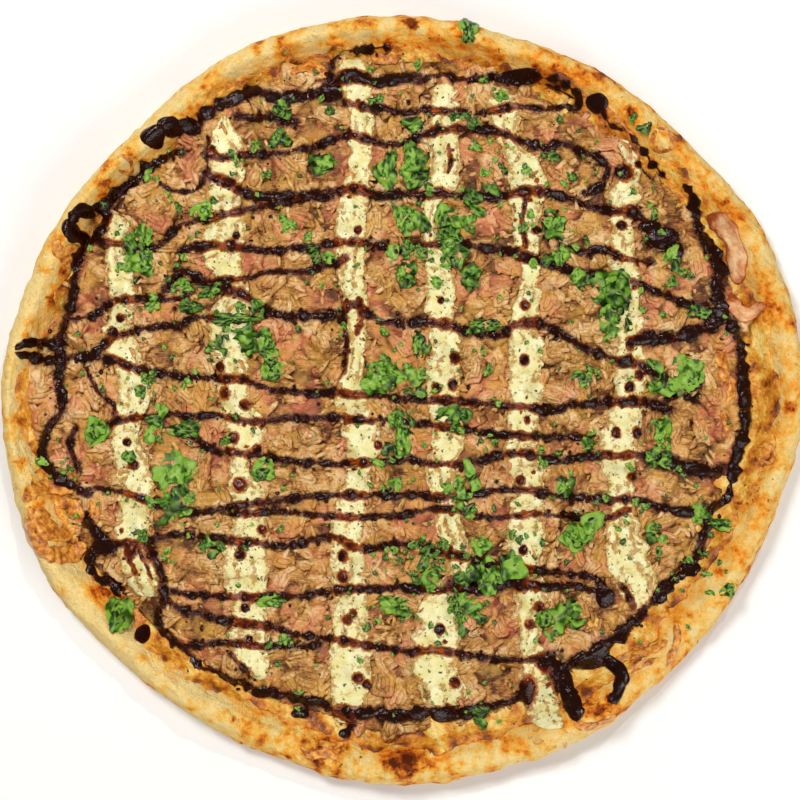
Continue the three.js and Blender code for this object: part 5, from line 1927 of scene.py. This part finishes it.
@dataclass
class RimTrimmings:
    """Pink flakes and browned onion slivers that lie out on the rim."""

    crest: float = 20.4
    flake_rise: float = 2.6
    burnt_reach: float = 5.0
    flakes: tuple = (
        ("rim_flake_long", 3.3, ((708, 215), (718, 221), (729, 234), (737, 254), (740, 284))),
        ("rim_flake_curl", 3.0, ((733, 292), (737, 308), (748, 314), (764, 303))),
    )
    slivers: tuple = (
        (1.7, ((572, 722), (590, 726), (607, 719), (616, 713))),
        (1.6, ((676, 622), (677, 640), (671, 658), (666, 668))),
        (1.5, ((612, 664), (630, 656), (652, 650), (668, 640))),
        (1.1, ((622, 674), (640, 664), (658, 658))),
        (2.6, ((24, 502), (36, 490), (54, 487), (72, 493))),
        (3.4, ((26, 518), (34, 538), (50, 552), (70, 554), (84, 544))),
        (3.0, ((40, 506), (44, 524), (58, 536), (74, 529))),
        (2.4, ((54, 508), (66, 504), (78, 514), (74, 524))),
        (2.0, ((30, 505), (35, 516), (33, 528))),
        (2.2, ((90, 500), (94, 514), (88, 528))),
        (1.0, ((655, 128), (668, 132), (672, 146), (662, 152), (652, 144), (655, 130))),
        (0.9, ((118, 160), (124, 157), (131, 162), (130, 170), (122, 172), (117, 166))),
        (0.9, ((32, 474), (38, 471), (44, 477), (42, 485), (34, 486), (31, 479))),
        (1.0, ((758, 448), (766, 445), (773, 452), (770, 462), (761, 462), (757, 454))),
        (2.0, ((300, 746), (312, 754), (326, 752), (340, 760))),
        (1.6, ((318, 742), (332, 746), (344, 744))),
        (2.8, ((57, 240), (61, 252), (70, 255), (77, 244))),
        (2.2, ((60, 258), (67, 263), (74, 258))),
        (2.4, ((290, 74), (303, 66), (318, 68), (328, 76))),
        (2.2, ((370, 52), (384, 58), (402, 53))),
        (1.2, ((279, 52), (286, 50), (290, 57), (284, 61))),
        (2.4, ((717, 350), (724, 364), (726, 382))),
        (1.8, ((731, 374), (733, 390), (728, 404))),
        (1.6, ((722, 410), (728, 424), (724, 436))),
    )

    def build_flake(self, name: str, half: float, places: Sequence[Point],
                    table: HeightField) -> bpy.types.Object:
        """Lay one pink flake in the place of its solid.

        Args:
            name: the solid that it stands for.
            half: half of its width.
            places: what its middle passes, on the plan grid.
            table: heights of what lies beneath.

        Returns:
            The finished piece.
        """
        path = plan_path(places, 0.8)
        left, right, ends = self.edges(path, half * (1.0 + 0.4 * noise_at(marks_along(path, 0.8), 4.0, 3)))
        bm = bmesh.new()
        lay_band(bm, left, right, self.flake_rise * ends, 0.5, (12, 3), table.spread(2.4).at, 0.55)
        weld(bm)
        depth = np.clip(layer_of(bm, "crest") / self.flake_rise, 0.0, 1.0)
        mesh = mesh_from(bm, f"pink_{name}")
        points = points_of(mesh)
        gaps = np.hypot(*(points[:, None, :2] - path[None]).transpose(2, 0, 1))
        along = gaps.argmin(axis=1)
        strands = np.stack([gaps.min(axis=1), 0.12 * along, np.zeros(len(points))], axis=1)
        points[:, 2] += depth * (0.6 * noise_at(points, 3.0, 8) + 1.3 * noise_at(strands, 1.1, 9))
        burnt = dome(points, (path[0, 0], path[0, 1]), self.burnt_reach)
        return finish_piece(f"pink_{name}", mesh, points, PinkFlake(), [name],
                            {"depth": depth, "burnt": burnt})

    def build_slivers(self, table: HeightField) -> bpy.types.Object:
        """Lay the browned slivers along the rim.

        Args:
            table: heights of what lies beneath.

        Returns:
            The finished piece.
        """
        bm = bmesh.new()
        ground = table.spread(0.8)
        for number, (half, places) in enumerate(self.slivers):
            path = plan_path(places, 0.7)
            marks = marks_along(path, 0.7, 5.0 * number)
            left, right, ends = self.edges(path, half * (1.0 + 0.6 * noise_at(marks, 3.0, 3)))
            lay_band(bm, left, right, 0.65 * half * ends, 0.4, (9, 2), ground.at, 0.6)
        weld(bm)
        tops = np.clip(layer_of(bm, "crest"), 0.0, 1.0)
        mesh = mesh_from(bm, "browned_slivers")
        points = points_of(mesh)
        points[:, 2] += tops * (0.9 * noise_at(points, 2.6, 4) + 0.4 * noise_at(points, 1.2, 5))
        points[:, 2] = np.minimum(points[:, 2], self.crest)
        return finish_piece("browned_slivers", mesh, points, BrownedOnion())

    def edges(self, path: np.ndarray, half: np.ndarray) -> tuple[np.ndarray, np.ndarray, np.ndarray]:
        """Left edge, right edge and taper of a band along a path.

        Args:
            path: middle of the band.
            half: half of its width at each point.

        Returns:
            The three, point by point.
        """
        ends = taper(path, 5.0)
        offset = sideways(path) * (half * ends)[:, None]
        return path + offset, path - offset, ends


# ---- Stage -----------------------------------------------------------------------------------------


@dataclass(frozen=True)
class Studio:
    """Pale floor, soft light and the camera straight above."""

    lens: float = 100.0
    sensor: float = 36.0
    view_width: float = 0.32
    view_centre: tuple[float, float] = (-0.00134, 0.00024)
    look_height: float = 0.013
    floor_gap: float = 0.0002
    air: float = 0.22

    def build(self) -> None:
        """Set the stage."""
        self.add_floor()
        self.add_camera()
        self.add_light("key", (-0.4, 0.5, 1.1), 0.3, 10.6)
        self.add_light("fill", (0.7, -0.95, 0.75), 0.9, 11.5)
        self.add_light("spark", (0.25, 0.75, 1.1), 0.045, 3.3)
        world = bpy.data.worlds.new("studio_air")
        world.use_nodes = True
        background = world.node_tree.nodes["Background"]
        background.inputs["Color"].default_value = (1.0, 1.0, 1.0, 1.0)
        background.inputs["Strength"].default_value = self.air
        bpy.context.scene.world = world
        bpy.context.scene.view_settings.view_transform = "Standard"
        bpy.context.scene.view_settings.look = "None"

    def add_floor(self) -> None:
        """Add the pale floor just below the crust."""
        bm = bmesh.new()
        bmesh.ops.create_grid(bm, x_segments=1, y_segments=1, size=3.0)
        floor = bpy.data.objects.new("floor", mesh_from(bm, "floor"))
        floor.location.z = -self.floor_gap
        paint = bpy.data.materials.new("floor_paint")
        paint.use_nodes = True
        shader = paint.node_tree.nodes["Principled BSDF"]
        shader.inputs["Base Color"].default_value = linear("#f2f1ee")
        shader.inputs["Roughness"].default_value = 0.9
        floor.data.materials.append(paint)
        bpy.context.scene.collection.objects.link(floor)

    def add_camera(self) -> None:
        """Hang the camera straight above with the far side at the top of the image."""
        data = bpy.data.cameras.new("camera")
        data.lens = self.lens
        data.sensor_width = self.sensor
        camera = bpy.data.objects.new("camera", data)
        distance = self.view_width * self.lens / self.sensor
        camera.location = (*self.view_centre, self.look_height + distance)
        bpy.context.scene.collection.objects.link(camera)
        bpy.context.scene.camera = camera

    def add_light(self, name: str, place: tuple[float, float, float], size: float, power: float) -> None:
        """Add a square soft light that faces the pizza.

        Args:
            name: name of the light.
            place: where it hangs, in metres.
            size: side of the square.
            power: its power in watts.
        """
        data = bpy.data.lights.new(name, "AREA")
        data.size = size
        data.energy = power
        light = bpy.data.objects.new(name, data)
        light.location = place
        light.rotation_euler = (-Vector(place)).to_track_quat("-Z", "Y").to_euler()
        bpy.context.scene.collection.objects.link(light)


def main() -> None:
    """Build the pizza from the crust up, then set the stage."""
    logging.basicConfig(level=logging.INFO, format="%(asctime)s %(message)s")
    sauce = Sauce()
    table = HeightField()
    table.lay(Crust().build())
    table.lay(Cheese().build(table))
    tuna = Tuna(sauce.soak)
    table.lay(tuna.build_core())
    for kind in FlakeKind:
        table.lay(tuna.build_flakes(kind, table))
    cream = Grid()
    base = HeightField(values=table.values.copy())
    for number, trace in enumerate(STRIPS, start=1):
        strip = table.lay(CreamStrip(trace, number, sauce.soak).build(base))
        cream.values = np.maximum(cream.values, strip.values)
    table.lay(tuna.build_strays(table))
    trimmings = RimTrimmings()
    for name, half, places in trimmings.flakes:
        table.lay(trimmings.build_flake(name, half, places, table))
    table.lay(trimmings.build_slivers(table))
    HerbSpecks().build(table, cream)
    table.lay(sauce.build_runs(table, cream))
    table.lay(sauce.build_pools(table, cream))
    parsley = Parsley()
    parsley.build_bits(table)
    parsley.build_leaves(table)
    Studio().build()


if __name__ == "__main__":
    main()
